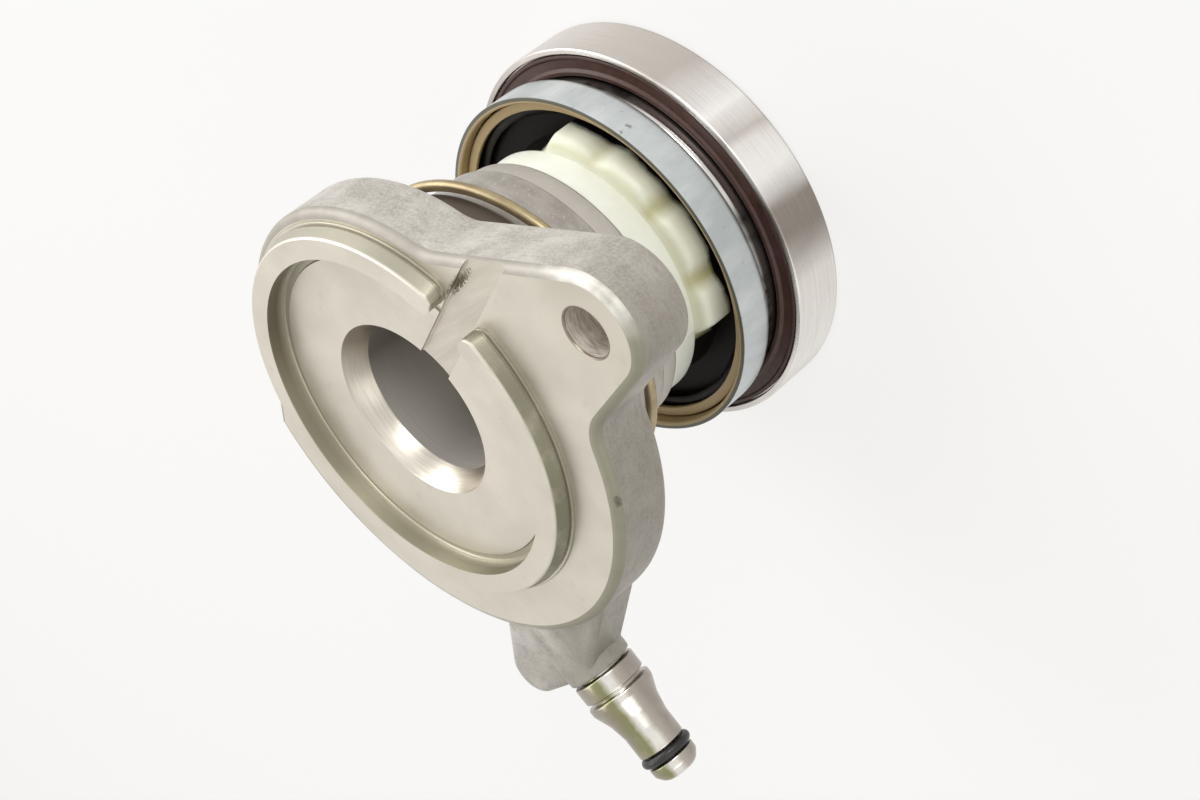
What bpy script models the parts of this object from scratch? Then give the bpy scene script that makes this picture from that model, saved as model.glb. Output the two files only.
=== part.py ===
"""Concentric clutch slave cylinder with a self-centring release bearing.

The bore axis is the world Z axis. Z is zero on the bearing's contact face, which the part
stands on, and the mounting flange is at the top. The bolt ear points along +X and the
inlet nipple roughly along -Y. Every length is in metres.
"""

import math

import bmesh
import bpy
from mathutils import Matrix, Vector

# Clearances between pieces
SEAT_GAP = 0.0003
RUN_GAP = 0.0003
LIP_GAP = 0.0004

# Release bearing
BALL_COUNT = 16
BALL_RADIUS = 0.00275
BALL_PITCH_RADIUS = 0.0310
BALL_HEIGHT = 0.0057
BEARING_WIDTH = 0.0106
OUTER_RING_WALL = 0.00295
OUTER_RING_LAND = 0.0006
OUTER_RING_EDGE = 0.0008
CONTACT_WALL = 0.0023
CONTACT_LIP_WALL = 0.0010
CONTACT_LIP_HEIGHT = 0.0032
SEAL_RECESS_WALL = 0.0011
INNER_RING_WALL = 0.0016
INNER_RING_LAND = 0.0010
INNER_RING_FOOT_GAP = 0.0007
INNER_RING_REACH = 0.0030
SEAL_WIDTH = 0.0038
SEAL_THICKNESS = 0.0007
CAGE_WALL = 0.0024
CAGE_WEB = 0.0007
CAGE_CLIP_DEPTH = 0.0011

# Self-centring carrier
FLOAT = 0.0008
CUP_SHEET = 0.0013
CUP_HEIGHT = 0.00745
CUP_CORNER_RADIUS = 0.0016
CUP_HUB_DEPTH = 0.0025
SNAP_RING_WIDTH = 0.0018
SNAP_RING_THICKNESS = 0.0008
SNAP_RING_DEPTH = 0.0018
SNAP_RING_CLEARANCE = 0.0014
WAVE_COUNT = 4
WAVE_STRIP = 0.0005
HEAD_FLANGE_CLEARANCE = 0.0015

# Piston
PISTON_WALL = 0.0056
PISTON_SKIRT_LENGTH = 0.0164
HEAD_LENGTH = 0.01365
HEAD_FLANGE_THICKNESS = 0.0012
HEAD_STOP_WIDTH = 0.0019
HEAD_RIM_LENGTH = 0.0054
LOBE_COUNT = 12
LOBE_PHASE = math.radians(25.0)
LOBE_REACH = 0.0030
LOBE_VALLEY = 0.0020
LOBE_SLOPE_LENGTH = 0.0016
LOBE_EDGE_WIDTH = 0.0008
LOBE_EDGE_RISE = 0.0006
LOBE_CROWN_DROP = 0.0010
LOBE_VALLEY_RISE = 0.0004
HEAD_EDGE = 0.0003
SEAL_HEIGHT = 0.0050
SEAL_LIP_WALL = 0.0012
SEAL_VEE_DEPTH = 0.0026
FLUID_SPACE = 0.00315

# Guide sleeve
SLEEVE_BORE = 0.0144
SLEEVE_WALL = 0.0020
SLEEVE_SEAT_LENGTH = 0.0060
SLEEVE_LEAD = 0.0008
SLEEVE_END_HEIGHT = 0.0060
SLEEVE_O_RING_RADIUS = 0.00075
SLEEVE_O_RING_HEIGHT = 0.0028

# Housing casting
BORE_LEDGE = 0.0021
BORE_CHAMFER_DEPTH = 0.00425
BORE_CHAMFER_WIDTH = 0.0019
MOUTH_CHAMFER = 0.0008
CYLINDER_WALL = 0.0040
END_BAND_LENGTH = 0.0044
END_BAND_STEP = 0.0010
SHOULDER_STEP = 0.0014
SHOULDER_LENGTH = 0.01135
ROOT_FILLET = 0.0020
FLANGE_THICKNESS = 0.0120
FLANGE_WAIST_MARGIN = 0.0018
FLANGE_BROADENING = 0.0075
FLANGE_STEP_HEIGHT = 0.0043
FLANGE_STEP_ANGLES = [math.radians(157.0), math.radians(163.3), math.radians(169.6)]
FRONT_FILLET = 0.0015
BACK_FILLET = 0.0020
EAR_HOLE_OVERHANG = 0.0121
EAR_RADIUS = 0.0100
EAR_HOLE_RADIUS = 0.00425
EAR_HOLE_CHAMFER = 0.0004
WAIST_FLANK_NORMAL = math.radians(68.0)
WAIST_FLANK_FILLET = 0.0100
LOWER_FLANK_NORMAL = math.radians(-74.5)
LOWER_FLANK_FILLET = 0.0080

# Spigot ring on the flange face
SPIGOT_HEIGHT = 0.0034
SPIGOT_INNER_RADIUS = 0.0305
SPIGOT_FOOT_WALL = 0.0052
SPIGOT_TOP_WALL = 0.0039
SPIGOT_LIP_HEIGHT = 0.0005
SPIGOT_GROOVE_DEPTH = 0.0006
SPIGOT_GAP = 0.0065
SPIGOT_END_ROUNDING = 0.41
DRAIN_ANGLE = math.radians(19.0)
DRAIN_WIDTH = 0.0050
DRAIN_DEPTH = 0.0008

# Inlet boss and nipple
NIPPLE_HEIGHT_BELOW_FACE = 0.0062
NIPPLE_SEAT_OVERHANG = 0.01196
NIPPLE_SEAT_ANGLE = math.radians(-99.4)
NIPPLE_HEADING = math.radians(-83.15)
NIPPLE_LENGTH = 0.02256
NIPPLE_BORE = 0.0015
NIPPLE_SPIGOT_RADIUS = 0.0042
NIPPLE_SPIGOT_LENGTH = 0.0090
NIPPLE_COLLAR_RADIUS = 0.0060
NIPPLE_GROOVE_RADIUS = 0.0050
NIPPLE_COLLAR_LENGTH = 0.0034
NIPPLE_GROOVE_LENGTH = 0.0008
NIPPLE_BARB_RADIUS = 0.0063
NIPPLE_BARB_LENGTH = 0.0078
NIPPLE_STEM_RADIUS = 0.0045
NIPPLE_O_RING_SECTION = 0.0009
NIPPLE_O_RING_GROOVE = 0.0029
NIPPLE_LAND_LENGTH = 0.0015
NIPPLE_NOSE_LENGTH = 0.0017
NIPPLE_NOSE_RADIUS = 0.0029
SOCKET_WALL = 0.0019
SOCKET_LENGTH = 0.0105
LUG_OFFSET = 0.0135
LUG_SETBACK = 0.0056
LUG_RADIUS = 0.0049
LUG_SIDE_NORMAL = math.radians(137.0)
BOSS_FLARE_ANGLE = math.radians(-77.0)
BOSS_FACE_DROP = 0.0016
BOSS_BACK_RISE = 0.0012
BOSS_NOSE_BEVEL = 0.0025
BOSS_ROOT_DEPTH = 0.0120
FLANGE_EDGE_COVER = 0.0080
PASSAGE_RADIUS = 0.00175

# Wire ring that hangs aslant round the cylinder's shoulder
WIRE_RADIUS = 0.0010
WIRE_RING_DROP = 0.01185
WIRE_RING_TILT = math.radians(4.1)
WIRE_RING_HIGH_SIDE = math.radians(120.0)
WIRE_RING_GAP = math.radians(9.0)
WIRE_RING_GAP_ANGLE = math.radians(200.0)

# Length by which a cut runs past the face it opens
CUT_OVERRUN = 0.0010

# Facets
TURNED_SEGMENTS = 36
SMALL_SEGMENTS = 18
ARC_STEP = math.radians(9.0)
FILLET_STEPS = 2
SHARP_ANGLE = math.radians(32.0)

# Radii that follow, from the bore outwards
SLEEVE_RADIUS = SLEEVE_BORE + SLEEVE_WALL
PISTON_BORE = SLEEVE_RADIUS + RUN_GAP
PISTON_RADIUS = PISTON_BORE + PISTON_WALL
CYLINDER_BORE = PISTON_RADIUS + RUN_GAP
CYLINDER_RADIUS = CYLINDER_BORE + CYLINDER_WALL
SHOULDER_RADIUS = CYLINDER_RADIUS + SHOULDER_STEP
HEAD_RIM_RADIUS = CYLINDER_BORE + HEAD_STOP_WIDTH
LOBE_RADIUS = HEAD_RIM_RADIUS + LOBE_REACH
DIAGONAL_FLOAT = FLOAT * math.sqrt(2.0)
SNAP_RING_BORE = LOBE_RADIUS + DIAGONAL_FLOAT + SNAP_RING_CLEARANCE
SNAP_RING_RADIUS = SNAP_RING_BORE + SNAP_RING_WIDTH
CUP_BORE = SNAP_RING_RADIUS + SEAT_GAP
CUP_RADIUS = CUP_BORE + CUP_SHEET
HEAD_FLANGE_RADIUS = CUP_BORE - DIAGONAL_FLOAT - HEAD_FLANGE_CLEARANCE
WAVE_BORE = LOBE_RADIUS + FLOAT + RUN_GAP
WAVE_RADIUS = CUP_BORE - FLOAT - RUN_GAP
RACE_RADIUS = BALL_RADIUS + RUN_GAP
INNER_RING_BORE = BALL_PITCH_RADIUS - RACE_RADIUS - INNER_RING_WALL
INNER_LAND_RADIUS = BALL_PITCH_RADIUS - RACE_RADIUS + INNER_RING_LAND
OUTER_LAND_RADIUS = BALL_PITCH_RADIUS + RACE_RADIUS - OUTER_RING_LAND
BEARING_RADIUS = BALL_PITCH_RADIUS + RACE_RADIUS + OUTER_RING_WALL
CONTACT_LIP_RADIUS = INNER_RING_BORE - LIP_GAP
SEAL_RECESS_RADIUS = BEARING_RADIUS - SEAL_RECESS_WALL
INNER_SHOULDER_RADIUS = SEAL_RECESS_RADIUS - SEAT_GAP - SEAL_WIDTH - RUN_GAP
SPIGOT_FOOT_RADIUS = SPIGOT_INNER_RADIUS + SPIGOT_FOOT_WALL
SPIGOT_TOP_RADIUS = SPIGOT_INNER_RADIUS + SPIGOT_TOP_WALL
FLANGE_WAIST_RADIUS = SPIGOT_FOOT_RADIUS + FLANGE_WAIST_MARGIN
FLANGE_STEP_RADIUS = FLANGE_WAIST_RADIUS + FLANGE_STEP_HEIGHT
FLANGE_RADIUS = FLANGE_WAIST_RADIUS + FLANGE_BROADENING
EAR_HOLE_DISTANCE = FLANGE_RADIUS + EAR_HOLE_OVERHANG

# Heights that follow, from the contact face upwards
SEAL_BASE = BALL_HEIGHT + RACE_RADIUS + CAGE_WEB + RUN_GAP
SEAL_SHELF = SEAL_BASE - SEAT_GAP
CAGE_TOP = SEAL_BASE - RUN_GAP
INNER_RING_TOP = BEARING_WIDTH + INNER_RING_REACH
CUP_BOTTOM = INNER_RING_TOP + SEAT_GAP
CUP_FLOOR = CUP_BOTTOM + CUP_SHEET
CUP_RIM = CUP_BOTTOM + CUP_HEIGHT
HEAD_BOTTOM = CUP_FLOOR + SEAT_GAP
HEAD_FLANGE_TOP = HEAD_BOTTOM + HEAD_FLANGE_THICKNESS
HEAD_TOP = HEAD_BOTTOM + HEAD_LENGTH
SNAP_RING_TOP = CUP_RIM - SNAP_RING_DEPTH
SNAP_RING_BOTTOM = SNAP_RING_TOP - SNAP_RING_THICKNESS
MOUTH = HEAD_TOP + SEAT_GAP
PISTON_TOP = HEAD_TOP + PISTON_SKIRT_LENGTH
SEAL_BOTTOM = PISTON_TOP + SEAT_GAP
SEAL_TOP = SEAL_BOTTOM + SEAL_HEIGHT
CHAMBER_END = SEAL_TOP + FLUID_SPACE
SLEEVE_SEAT_END = CHAMBER_END + SLEEVE_SEAT_LENGTH
SLEEVE_TOP = SLEEVE_SEAT_END - SEAT_GAP
LEDGE_TOP = SLEEVE_SEAT_END + BORE_LEDGE
FLANGE_FACE = LEDGE_TOP + BORE_CHAMFER_DEPTH
FLANGE_BACK = FLANGE_FACE - FLANGE_THICKNESS
WIRE_RING_HEIGHT = FLANGE_BACK - WIRE_RING_DROP
NIPPLE_HEIGHT = FLANGE_FACE - NIPPLE_HEIGHT_BELOW_FACE
O_RING_GROOVE_BOTTOM = CHAMBER_END + SLEEVE_O_RING_HEIGHT - SLEEVE_O_RING_RADIUS - SEAT_GAP
O_RING_GROOVE_TOP = CHAMBER_END + SLEEVE_O_RING_HEIGHT + SLEEVE_O_RING_RADIUS + SEAT_GAP
O_RING_CENTRE_RADIUS = SLEEVE_RADIUS + SEAT_GAP + SLEEVE_O_RING_RADIUS
O_RING_GROOVE_RADIUS = O_RING_CENTRE_RADIUS + SLEEVE_O_RING_RADIUS + SEAT_GAP
NIPPLE_DIRECTION = Vector((math.cos(NIPPLE_HEADING), math.sin(NIPPLE_HEADING), 0.0))
NIPPLE_SEAT_DISTANCE = FLANGE_RADIUS + NIPPLE_SEAT_OVERHANG
NIPPLE_BASE = Vector((NIPPLE_SEAT_DISTANCE * math.cos(NIPPLE_SEAT_ANGLE),
                      NIPPLE_SEAT_DISTANCE * math.sin(NIPPLE_SEAT_ANGLE), NIPPLE_HEIGHT))
SOCKET_RADIUS = NIPPLE_SPIGOT_RADIUS + SOCKET_WALL


def clear_scene():
    """Remove every object that the file opened with."""
    for old in list(bpy.data.objects):
        bpy.data.objects.remove(old, do_unlink=True)


def make_material(name, hex_colour, metallic, roughness):
    """Principled material with an sRGB hex colour."""
    def linear(value):
        return value / 12.92 if value <= 0.04045 else ((value + 0.055) / 1.055) ** 2.4

    channels = [int(hex_colour[i:i + 2], 16) / 255.0 for i in (1, 3, 5)]
    material = bpy.data.materials.new(name)
    material.use_nodes = True
    shader = material.node_tree.nodes["Principled BSDF"]
    shader.inputs["Base Color"].default_value = [linear(c) for c in channels] + [1.0]
    shader.inputs["Metallic"].default_value = metallic
    shader.inputs["Roughness"].default_value = roughness
    return material


def add_object(name, mesh_builder, material=None):
    """Turn a bmesh into an object with outward faces and smooth round surfaces."""
    bmesh.ops.recalc_face_normals(mesh_builder, faces=mesh_builder.faces)
    if mesh_builder.calc_volume(signed=True) < 0.0:
        bmesh.ops.reverse_faces(mesh_builder, faces=mesh_builder.faces)
    mesh = bpy.data.meshes.new(name)
    mesh_builder.to_mesh(mesh)
    mesh_builder.free()
    mesh.shade_smooth()
    mesh.set_sharp_from_angle(angle=SHARP_ANGLE)
    made = bpy.data.objects.new(name, mesh)
    bpy.context.scene.collection.objects.link(made)
    if material:
        mesh.materials.append(material)
    return made


def skin(loops, closed):
    """Surface through loops of equally many points; closed joins the last loop to the first."""
    builder = bmesh.new()
    rows = [[builder.verts.new(point) for point in loop] for loop in loops]
    count = len(rows[0])
    pairs = list(zip(rows, rows[1:]))
    if closed:
        pairs.append((rows[-1], rows[0]))
    for low, high in pairs:
        for i in range(count):
            j = (i + 1) % count
            builder.faces.new((low[i], low[j], high[j], high[i]))
    if not closed:
        builder.faces.new(rows[0])
        builder.faces.new(rows[-1])
    return builder


def circle(radius, height, segments):
    """Points of a level circle about the Z axis."""
    turns = [2.0 * math.pi * i / segments for i in range(segments)]
    return [Vector((radius * math.cos(a), radius * math.sin(a), height)) for a in turns]


def turned(profile, segments=TURNED_SEGMENTS, closed=True):
    """Turn (radius, height) points about Z: a ring from a closed profile, else a capped solid."""
    return skin([circle(r, z, segments) for r, z in profile], closed)


def arc(centre, radius, start, end, steps):
    """(u, v) points along an arc, both ends included."""
    angles = [start + (end - start) * i / steps for i in range(steps + 1)]
    return [(centre[0] + radius * math.cos(a), centre[1] + radius * math.sin(a)) for a in angles]


def arc_by_step(centre, radius, start, end):
    """An arc whose facets span about ARC_STEP."""
    steps = max(2, round(abs(end - start) / ARC_STEP))
    return arc(centre, radius, start, end, steps)


def o_ring(centre_radius, height, section, segments, facets=6):
    """A round-section ring about Z."""
    profile = arc((centre_radius, height), section, 0.0, 2.0 * math.pi, facets)[:-1]
    return turned(profile, segments)


def inset(outline, distance):
    """Move each point of an anticlockwise outline inwards along its corner's bisector."""
    moved = []
    count = len(outline)
    for i in range(count):
        before = Vector(outline[i - 1])
        here = Vector(outline[i])
        after = Vector(outline[(i + 1) % count])
        along = ((here - before).normalized() + (after - here).normalized()).normalized()
        moved.append((here.x - along.y * distance, here.y + along.x * distance))
    return moved


def rounded_plate(outline, bottom, top, bottom_fillet, top_fillet):
    """Extrude an outline with a quarter-round along its bottom and top edges."""
    quarter = [0.5 * math.pi * i / FILLET_STEPS for i in range(FILLET_STEPS + 1)]
    levels = []
    for turn in quarter:
        levels.append((bottom_fillet * (1.0 - math.sin(turn)),
                       bottom + bottom_fillet * (1.0 - math.cos(turn))))
    for turn in quarter:
        levels.append((top_fillet * (1.0 - math.cos(turn)),
                       top - top_fillet * (1.0 - math.sin(turn))))
    loops = [[Vector((x, y, height)) for x, y in inset(outline, distance)]
             for distance, height in levels]
    return skin(loops, closed=False)


def boolean(target, cutter, operation):
    """Add an exact Boolean whose second shape stays as a hidden wire guide."""
    cutter.hide_render = True
    cutter.display_type = 'WIRE'
    change = target.modifiers.new(cutter.name, 'BOOLEAN')
    change.operation = operation
    change.solver = 'EXACT'
    change.object = cutter


# Housing casting

def flank(normal_angle, body_radius, fillet, side):
    """Straight flank from the ear to a fillet against a round body.

    side is +1 for the flank above the X axis and -1 for the one below. The points run from
    the ear towards the body, and the second value is the angle where the body's arc starts.
    """
    normal = Vector((math.cos(normal_angle), math.sin(normal_angle)))
    away = Vector((-normal.y, normal.x)) * side
    offset = EAR_HOLE_DISTANCE * normal.x + EAR_RADIUS + fillet
    run = -math.sqrt((body_radius + fillet) ** 2 - offset ** 2)
    centre = normal * offset + away * run
    start = math.atan2(-normal.y, -normal.x)
    end = math.atan2(-centre.y, -centre.x)
    turn = (end - start + math.pi) % (2.0 * math.pi) - math.pi
    points = arc_by_step(centre, fillet, start, start + turn)
    return points, math.atan2(centre.y, centre.x)


def flange_outline():
    """Anticlockwise plan of the flange: bolt ear, waist, side step and large round."""
    waist_flank, waist_start = flank(WAIST_FLANK_NORMAL, FLANGE_WAIST_RADIUS, WAIST_FLANK_FILLET, 1)
    lower_flank, round_end = flank(LOWER_FLANK_NORMAL, FLANGE_RADIUS, LOWER_FLANK_FILLET, -1)
    waist_end, step_corner, round_start = FLANGE_STEP_ANGLES
    points = arc_by_step((EAR_HOLE_DISTANCE, 0.0), EAR_RADIUS, LOWER_FLANK_NORMAL, WAIST_FLANK_NORMAL)
    points += waist_flank[:-1]
    points += arc_by_step((0.0, 0.0), FLANGE_WAIST_RADIUS, waist_start, waist_end)
    points.append((FLANGE_STEP_RADIUS * math.cos(step_corner), FLANGE_STEP_RADIUS * math.sin(step_corner)))
    points += arc_by_step((0.0, 0.0), FLANGE_RADIUS, round_start, round_end + 2.0 * math.pi)
    points += lower_flank[-2::-1]
    return points


def cylinder_body():
    """Outside of the cylinder: end band, main barrel, shoulder and a fillet under the flange."""
    band_radius = CYLINDER_RADIUS - END_BAND_STEP
    band_top = MOUTH + END_BAND_LENGTH
    shoulder_bottom = FLANGE_BACK - SHOULDER_LENGTH
    root = arc((SHOULDER_RADIUS + ROOT_FILLET, FLANGE_BACK - ROOT_FILLET), ROOT_FILLET,
               math.pi, 0.5 * math.pi, 2)
    profile = [
        (band_radius - MOUTH_CHAMFER * 0.5, MOUTH),
        (band_radius, MOUTH + MOUTH_CHAMFER * 0.5),
        (band_radius, band_top),
        (CYLINDER_RADIUS, band_top),
        (CYLINDER_RADIUS, shoulder_bottom),
        (SHOULDER_RADIUS, shoulder_bottom + SHOULDER_STEP),
    ]
    profile += root
    profile.append((SHOULDER_RADIUS + ROOT_FILLET, FLANGE_BACK + FLANGE_THICKNESS * 0.5))
    return turned(profile, closed=False)


def spigot_ring():
    """Split locating ring: upright inside, sloping outside with a groove above its foot."""
    centre_radius = 0.5 * (SPIGOT_INNER_RADIUS + SPIGOT_TOP_RADIUS)
    half_gap = math.asin(0.5 * SPIGOT_GAP / centre_radius)
    groove_top = SPIGOT_LIP_HEIGHT * 2.5
    slope = (SPIGOT_FOOT_RADIUS - SPIGOT_TOP_RADIUS) / SPIGOT_HEIGHT
    levels = [
        (SPIGOT_FOOT_RADIUS, -0.5 * SPIGOT_HEIGHT),
        (SPIGOT_FOOT_RADIUS, SPIGOT_LIP_HEIGHT),
        (SPIGOT_FOOT_RADIUS - SPIGOT_GROOVE_DEPTH - slope * SPIGOT_LIP_HEIGHT, SPIGOT_LIP_HEIGHT * 1.5),
        (SPIGOT_FOOT_RADIUS - slope * groove_top, groove_top),
        (SPIGOT_TOP_RADIUS, SPIGOT_HEIGHT),
    ]
    return skin([band_outline(outer, half_gap, FLANGE_FACE + height) for outer, height in levels], False)


def band_outline(outer_radius, half_gap, height):
    """Plan of the split ring at one height, with a quarter-round at each corner of its ends."""
    start = DRAIN_ANGLE + half_gap
    end = DRAIN_ANGLE - half_gap + 2.0 * math.pi
    corner = SPIGOT_END_ROUNDING * (outer_radius - SPIGOT_INNER_RADIUS)
    outer_turn = corner / outer_radius
    inner_turn = corner / SPIGOT_INNER_RADIUS
    mid_radius = 0.5 * (outer_radius + SPIGOT_INNER_RADIUS)
    tip = 0.3 * corner
    outer = arc_by_step((0.0, 0.0), outer_radius, start + outer_turn, end - outer_turn)
    inner = arc_by_step((0.0, 0.0), SPIGOT_INNER_RADIUS, end - inner_turn, start + inner_turn)
    end_cap = [polar(outer_radius - tip, end - 0.3 * outer_turn),
               polar(mid_radius, end),
               polar(SPIGOT_INNER_RADIUS + tip, end - 0.3 * inner_turn)]
    start_cap = [polar(SPIGOT_INNER_RADIUS + tip, start + 0.3 * inner_turn),
                 polar(mid_radius, start),
                 polar(outer_radius - tip, start + 0.3 * outer_turn)]
    return [Vector((x, y, height)) for x, y in outer + end_cap + inner + start_cap]


def polar(radius, angle):
    """(x, y) at a radius and an angle."""
    return (radius * math.cos(angle), radius * math.sin(angle))


def nipple_frame(along=0.0):
    """Matrix that lays local +Z along the nipple's axis, from a point on that axis."""
    turn = NIPPLE_DIRECTION.to_track_quat('Z', 'X').to_matrix().to_4x4()
    return Matrix.Translation(NIPPLE_BASE + NIPPLE_DIRECTION * along) @ turn


def boss_outline():
    """Plan of the inlet boss: rounded lug, nipple end and a flare back into the flange."""
    nose = NIPPLE_BASE.xy
    along = NIPPLE_DIRECTION.xy
    across = Vector((along.y, -along.x))
    lug = nose + across * LUG_OFFSET - along * LUG_SETBACK
    side = Vector((math.sin(LUG_SIDE_NORMAL), -math.cos(LUG_SIDE_NORMAL)))
    outline = arc_by_step(lug, LUG_RADIUS, LUG_SIDE_NORMAL, NIPPLE_HEADING + 2.0 * math.pi)
    for beside, back in ((0.5, SEAT_GAP), (-0.6, SEAT_GAP), (-0.95, BOSS_NOSE_BEVEL)):
        point = nose + across * SOCKET_RADIUS * beside - along * back
        outline.append((point.x, point.y))
    outline.append(polar(FLANGE_RADIUS, BOSS_FLARE_ANGLE))
    outline.append(polar(FLANGE_RADIUS - BOSS_ROOT_DEPTH, BOSS_FLARE_ANGLE))
    inner = Vector(outline[0]) + side * (LUG_RADIUS + FLANGE_EDGE_COVER)
    outline.append((inner.x, inner.y))
    return outline


def add_inlet_boss(housing):
    """Cast socket round the nipple's seat, and the boss with a rounded lug beside it."""
    socket = turned([(SOCKET_RADIUS, -SOCKET_LENGTH), (SOCKET_RADIUS, -SEAT_GAP),
                     (SOCKET_RADIUS - SEAT_GAP, 0.0)], SMALL_SEGMENTS, closed=False)
    socket.transform(nipple_frame())
    boss = rounded_plate(boss_outline(), FLANGE_BACK + BOSS_BACK_RISE, FLANGE_FACE - BOSS_FACE_DROP,
                         FRONT_FILLET, FRONT_FILLET)
    boolean(housing, add_object("boss_form", boss), 'UNION')
    boolean(housing, add_object("socket_form", socket), 'UNION')


def bore_cutter():
    """Stepped bore: piston chamber, sleeve seat with its seal groove, ledge and lead-in cone."""
    cone_slope = BORE_CHAMFER_WIDTH / BORE_CHAMFER_DEPTH
    seat_radius = SLEEVE_RADIUS + SEAT_GAP
    profile = [
        (CYLINDER_BORE + MOUTH_CHAMFER, MOUTH - CUT_OVERRUN),
        (CYLINDER_BORE + MOUTH_CHAMFER, MOUTH),
        (CYLINDER_BORE, MOUTH + MOUTH_CHAMFER),
        (CYLINDER_BORE, CHAMBER_END),
        (seat_radius, CHAMBER_END),
        (seat_radius, O_RING_GROOVE_BOTTOM),
        (O_RING_GROOVE_RADIUS, O_RING_GROOVE_BOTTOM),
        (O_RING_GROOVE_RADIUS, O_RING_GROOVE_TOP),
        (seat_radius, O_RING_GROOVE_TOP),
        (seat_radius, SLEEVE_SEAT_END),
        (SLEEVE_BORE, SLEEVE_SEAT_END),
        (SLEEVE_BORE, LEDGE_TOP),
        (SLEEVE_BORE + BORE_CHAMFER_WIDTH + cone_slope * CUT_OVERRUN, FLANGE_FACE + CUT_OVERRUN),
    ]
    return turned(profile, closed=False)


def ear_hole_cutter():
    """Bolt hole through the ear, with a small chamfer at each face."""
    wide = EAR_HOLE_RADIUS + EAR_HOLE_CHAMFER + CUT_OVERRUN
    profile = [
        (wide, FLANGE_BACK - CUT_OVERRUN),
        (EAR_HOLE_RADIUS, FLANGE_BACK + EAR_HOLE_CHAMFER),
        (EAR_HOLE_RADIUS, FLANGE_FACE - EAR_HOLE_CHAMFER),
        (wide, FLANGE_FACE + CUT_OVERRUN),
    ]
    hole = turned(profile, SMALL_SEGMENTS, closed=False)
    hole.transform(Matrix.Translation((EAR_HOLE_DISTANCE, 0.0, 0.0)))
    return hole


def drain_cutter():
    """Shallow milled channel from the bore's edge out through the gap in the spigot ring."""
    inner_end = SLEEVE_BORE * 0.8
    outer_end = EAR_HOLE_DISTANCE
    builder = bmesh.new()
    bmesh.ops.create_cube(builder, size=1.0)
    size = Matrix.Diagonal((outer_end - inner_end, DRAIN_WIDTH, 2.0 * SPIGOT_HEIGHT, 1.0))
    middle = Matrix.Translation((0.5 * (inner_end + outer_end), 0.0,
                                 FLANGE_FACE - DRAIN_DEPTH + SPIGOT_HEIGHT))
    builder.transform(Matrix.Rotation(DRAIN_ANGLE, 4, 'Z') @ middle @ size)
    return builder


def passage_elbow():
    """Point on the nipple's axis that lies over the piston chamber, clear of the seal groove."""
    target = CYLINDER_BORE - PASSAGE_RADIUS - SEAT_GAP
    along = NIPPLE_DIRECTION.xy
    base = NIPPLE_BASE.xy
    towards = base.dot(along)
    run = -towards + math.sqrt(towards ** 2 - base.length_squared + target ** 2)
    return NIPPLE_BASE + NIPPLE_DIRECTION * run


def add_fluid_passage(housing):
    """Drillings: the nipple's seat, the passage behind it and the port down into the chamber."""
    elbow = passage_elbow()
    depth = (elbow - NIPPLE_BASE).length
    seat_depth = NIPPLE_SPIGOT_LENGTH + SEAT_GAP
    seat_radius = NIPPLE_SPIGOT_RADIUS + SEAT_GAP
    drilling = turned([
        (PASSAGE_RADIUS, -depth - PASSAGE_RADIUS * 0.5),
        (PASSAGE_RADIUS, -seat_depth),
        (seat_radius, -seat_depth),
        (seat_radius, SEAT_GAP * 4.0),
    ], 16, closed=False)
    drilling.transform(nipple_frame())
    boolean(housing, add_object("inlet_drilling", drilling), 'DIFFERENCE')
    port = turned([(PASSAGE_RADIUS * 0.9, CHAMBER_END - PASSAGE_RADIUS),
                   (PASSAGE_RADIUS * 0.9, NIPPLE_HEIGHT)], 12, closed=False)
    port.transform(Matrix.Translation((elbow.x, elbow.y, 0.0)))
    boolean(housing, add_object("chamber_port", port), 'DIFFERENCE')


def build_housing(material):
    """One casting: eared flange with split spigot ring, cylinder, inlet boss and stepped bore."""
    plate = rounded_plate(flange_outline(), FLANGE_BACK, FLANGE_FACE, BACK_FILLET, FRONT_FILLET)
    housing = add_object("housing", plate, material)
    boolean(housing, add_object("cylinder_form", cylinder_body()), 'UNION')
    boolean(housing, add_object("spigot_form", spigot_ring()), 'UNION')
    add_inlet_boss(housing)
    boolean(housing, add_object("stepped_bore", bore_cutter()), 'DIFFERENCE')
    boolean(housing, add_object("ear_hole", ear_hole_cutter()), 'DIFFERENCE')
    boolean(housing, add_object("drain_channel", drain_cutter()), 'DIFFERENCE')
    add_fluid_passage(housing)
    return housing


# Pieces fixed to the housing

def build_guide_sleeve(material):
    """Steel tube pressed into the casting, which the piston runs on."""
    return add_object("guide_sleeve", turned([
        (SLEEVE_BORE, SLEEVE_END_HEIGHT),
        (SLEEVE_RADIUS - SLEEVE_LEAD, SLEEVE_END_HEIGHT),
        (SLEEVE_RADIUS, SLEEVE_END_HEIGHT + SLEEVE_LEAD),
        (SLEEVE_RADIUS, SLEEVE_TOP),
        (SLEEVE_BORE, SLEEVE_TOP),
    ]), material)


def build_sleeve_o_ring(material):
    """Static seal between the sleeve and the casting."""
    ring = o_ring(O_RING_CENTRE_RADIUS, CHAMBER_END + SLEEVE_O_RING_HEIGHT,
                  SLEEVE_O_RING_RADIUS, TURNED_SEGMENTS)
    return add_object("sleeve_o_ring", ring, material)


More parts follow.
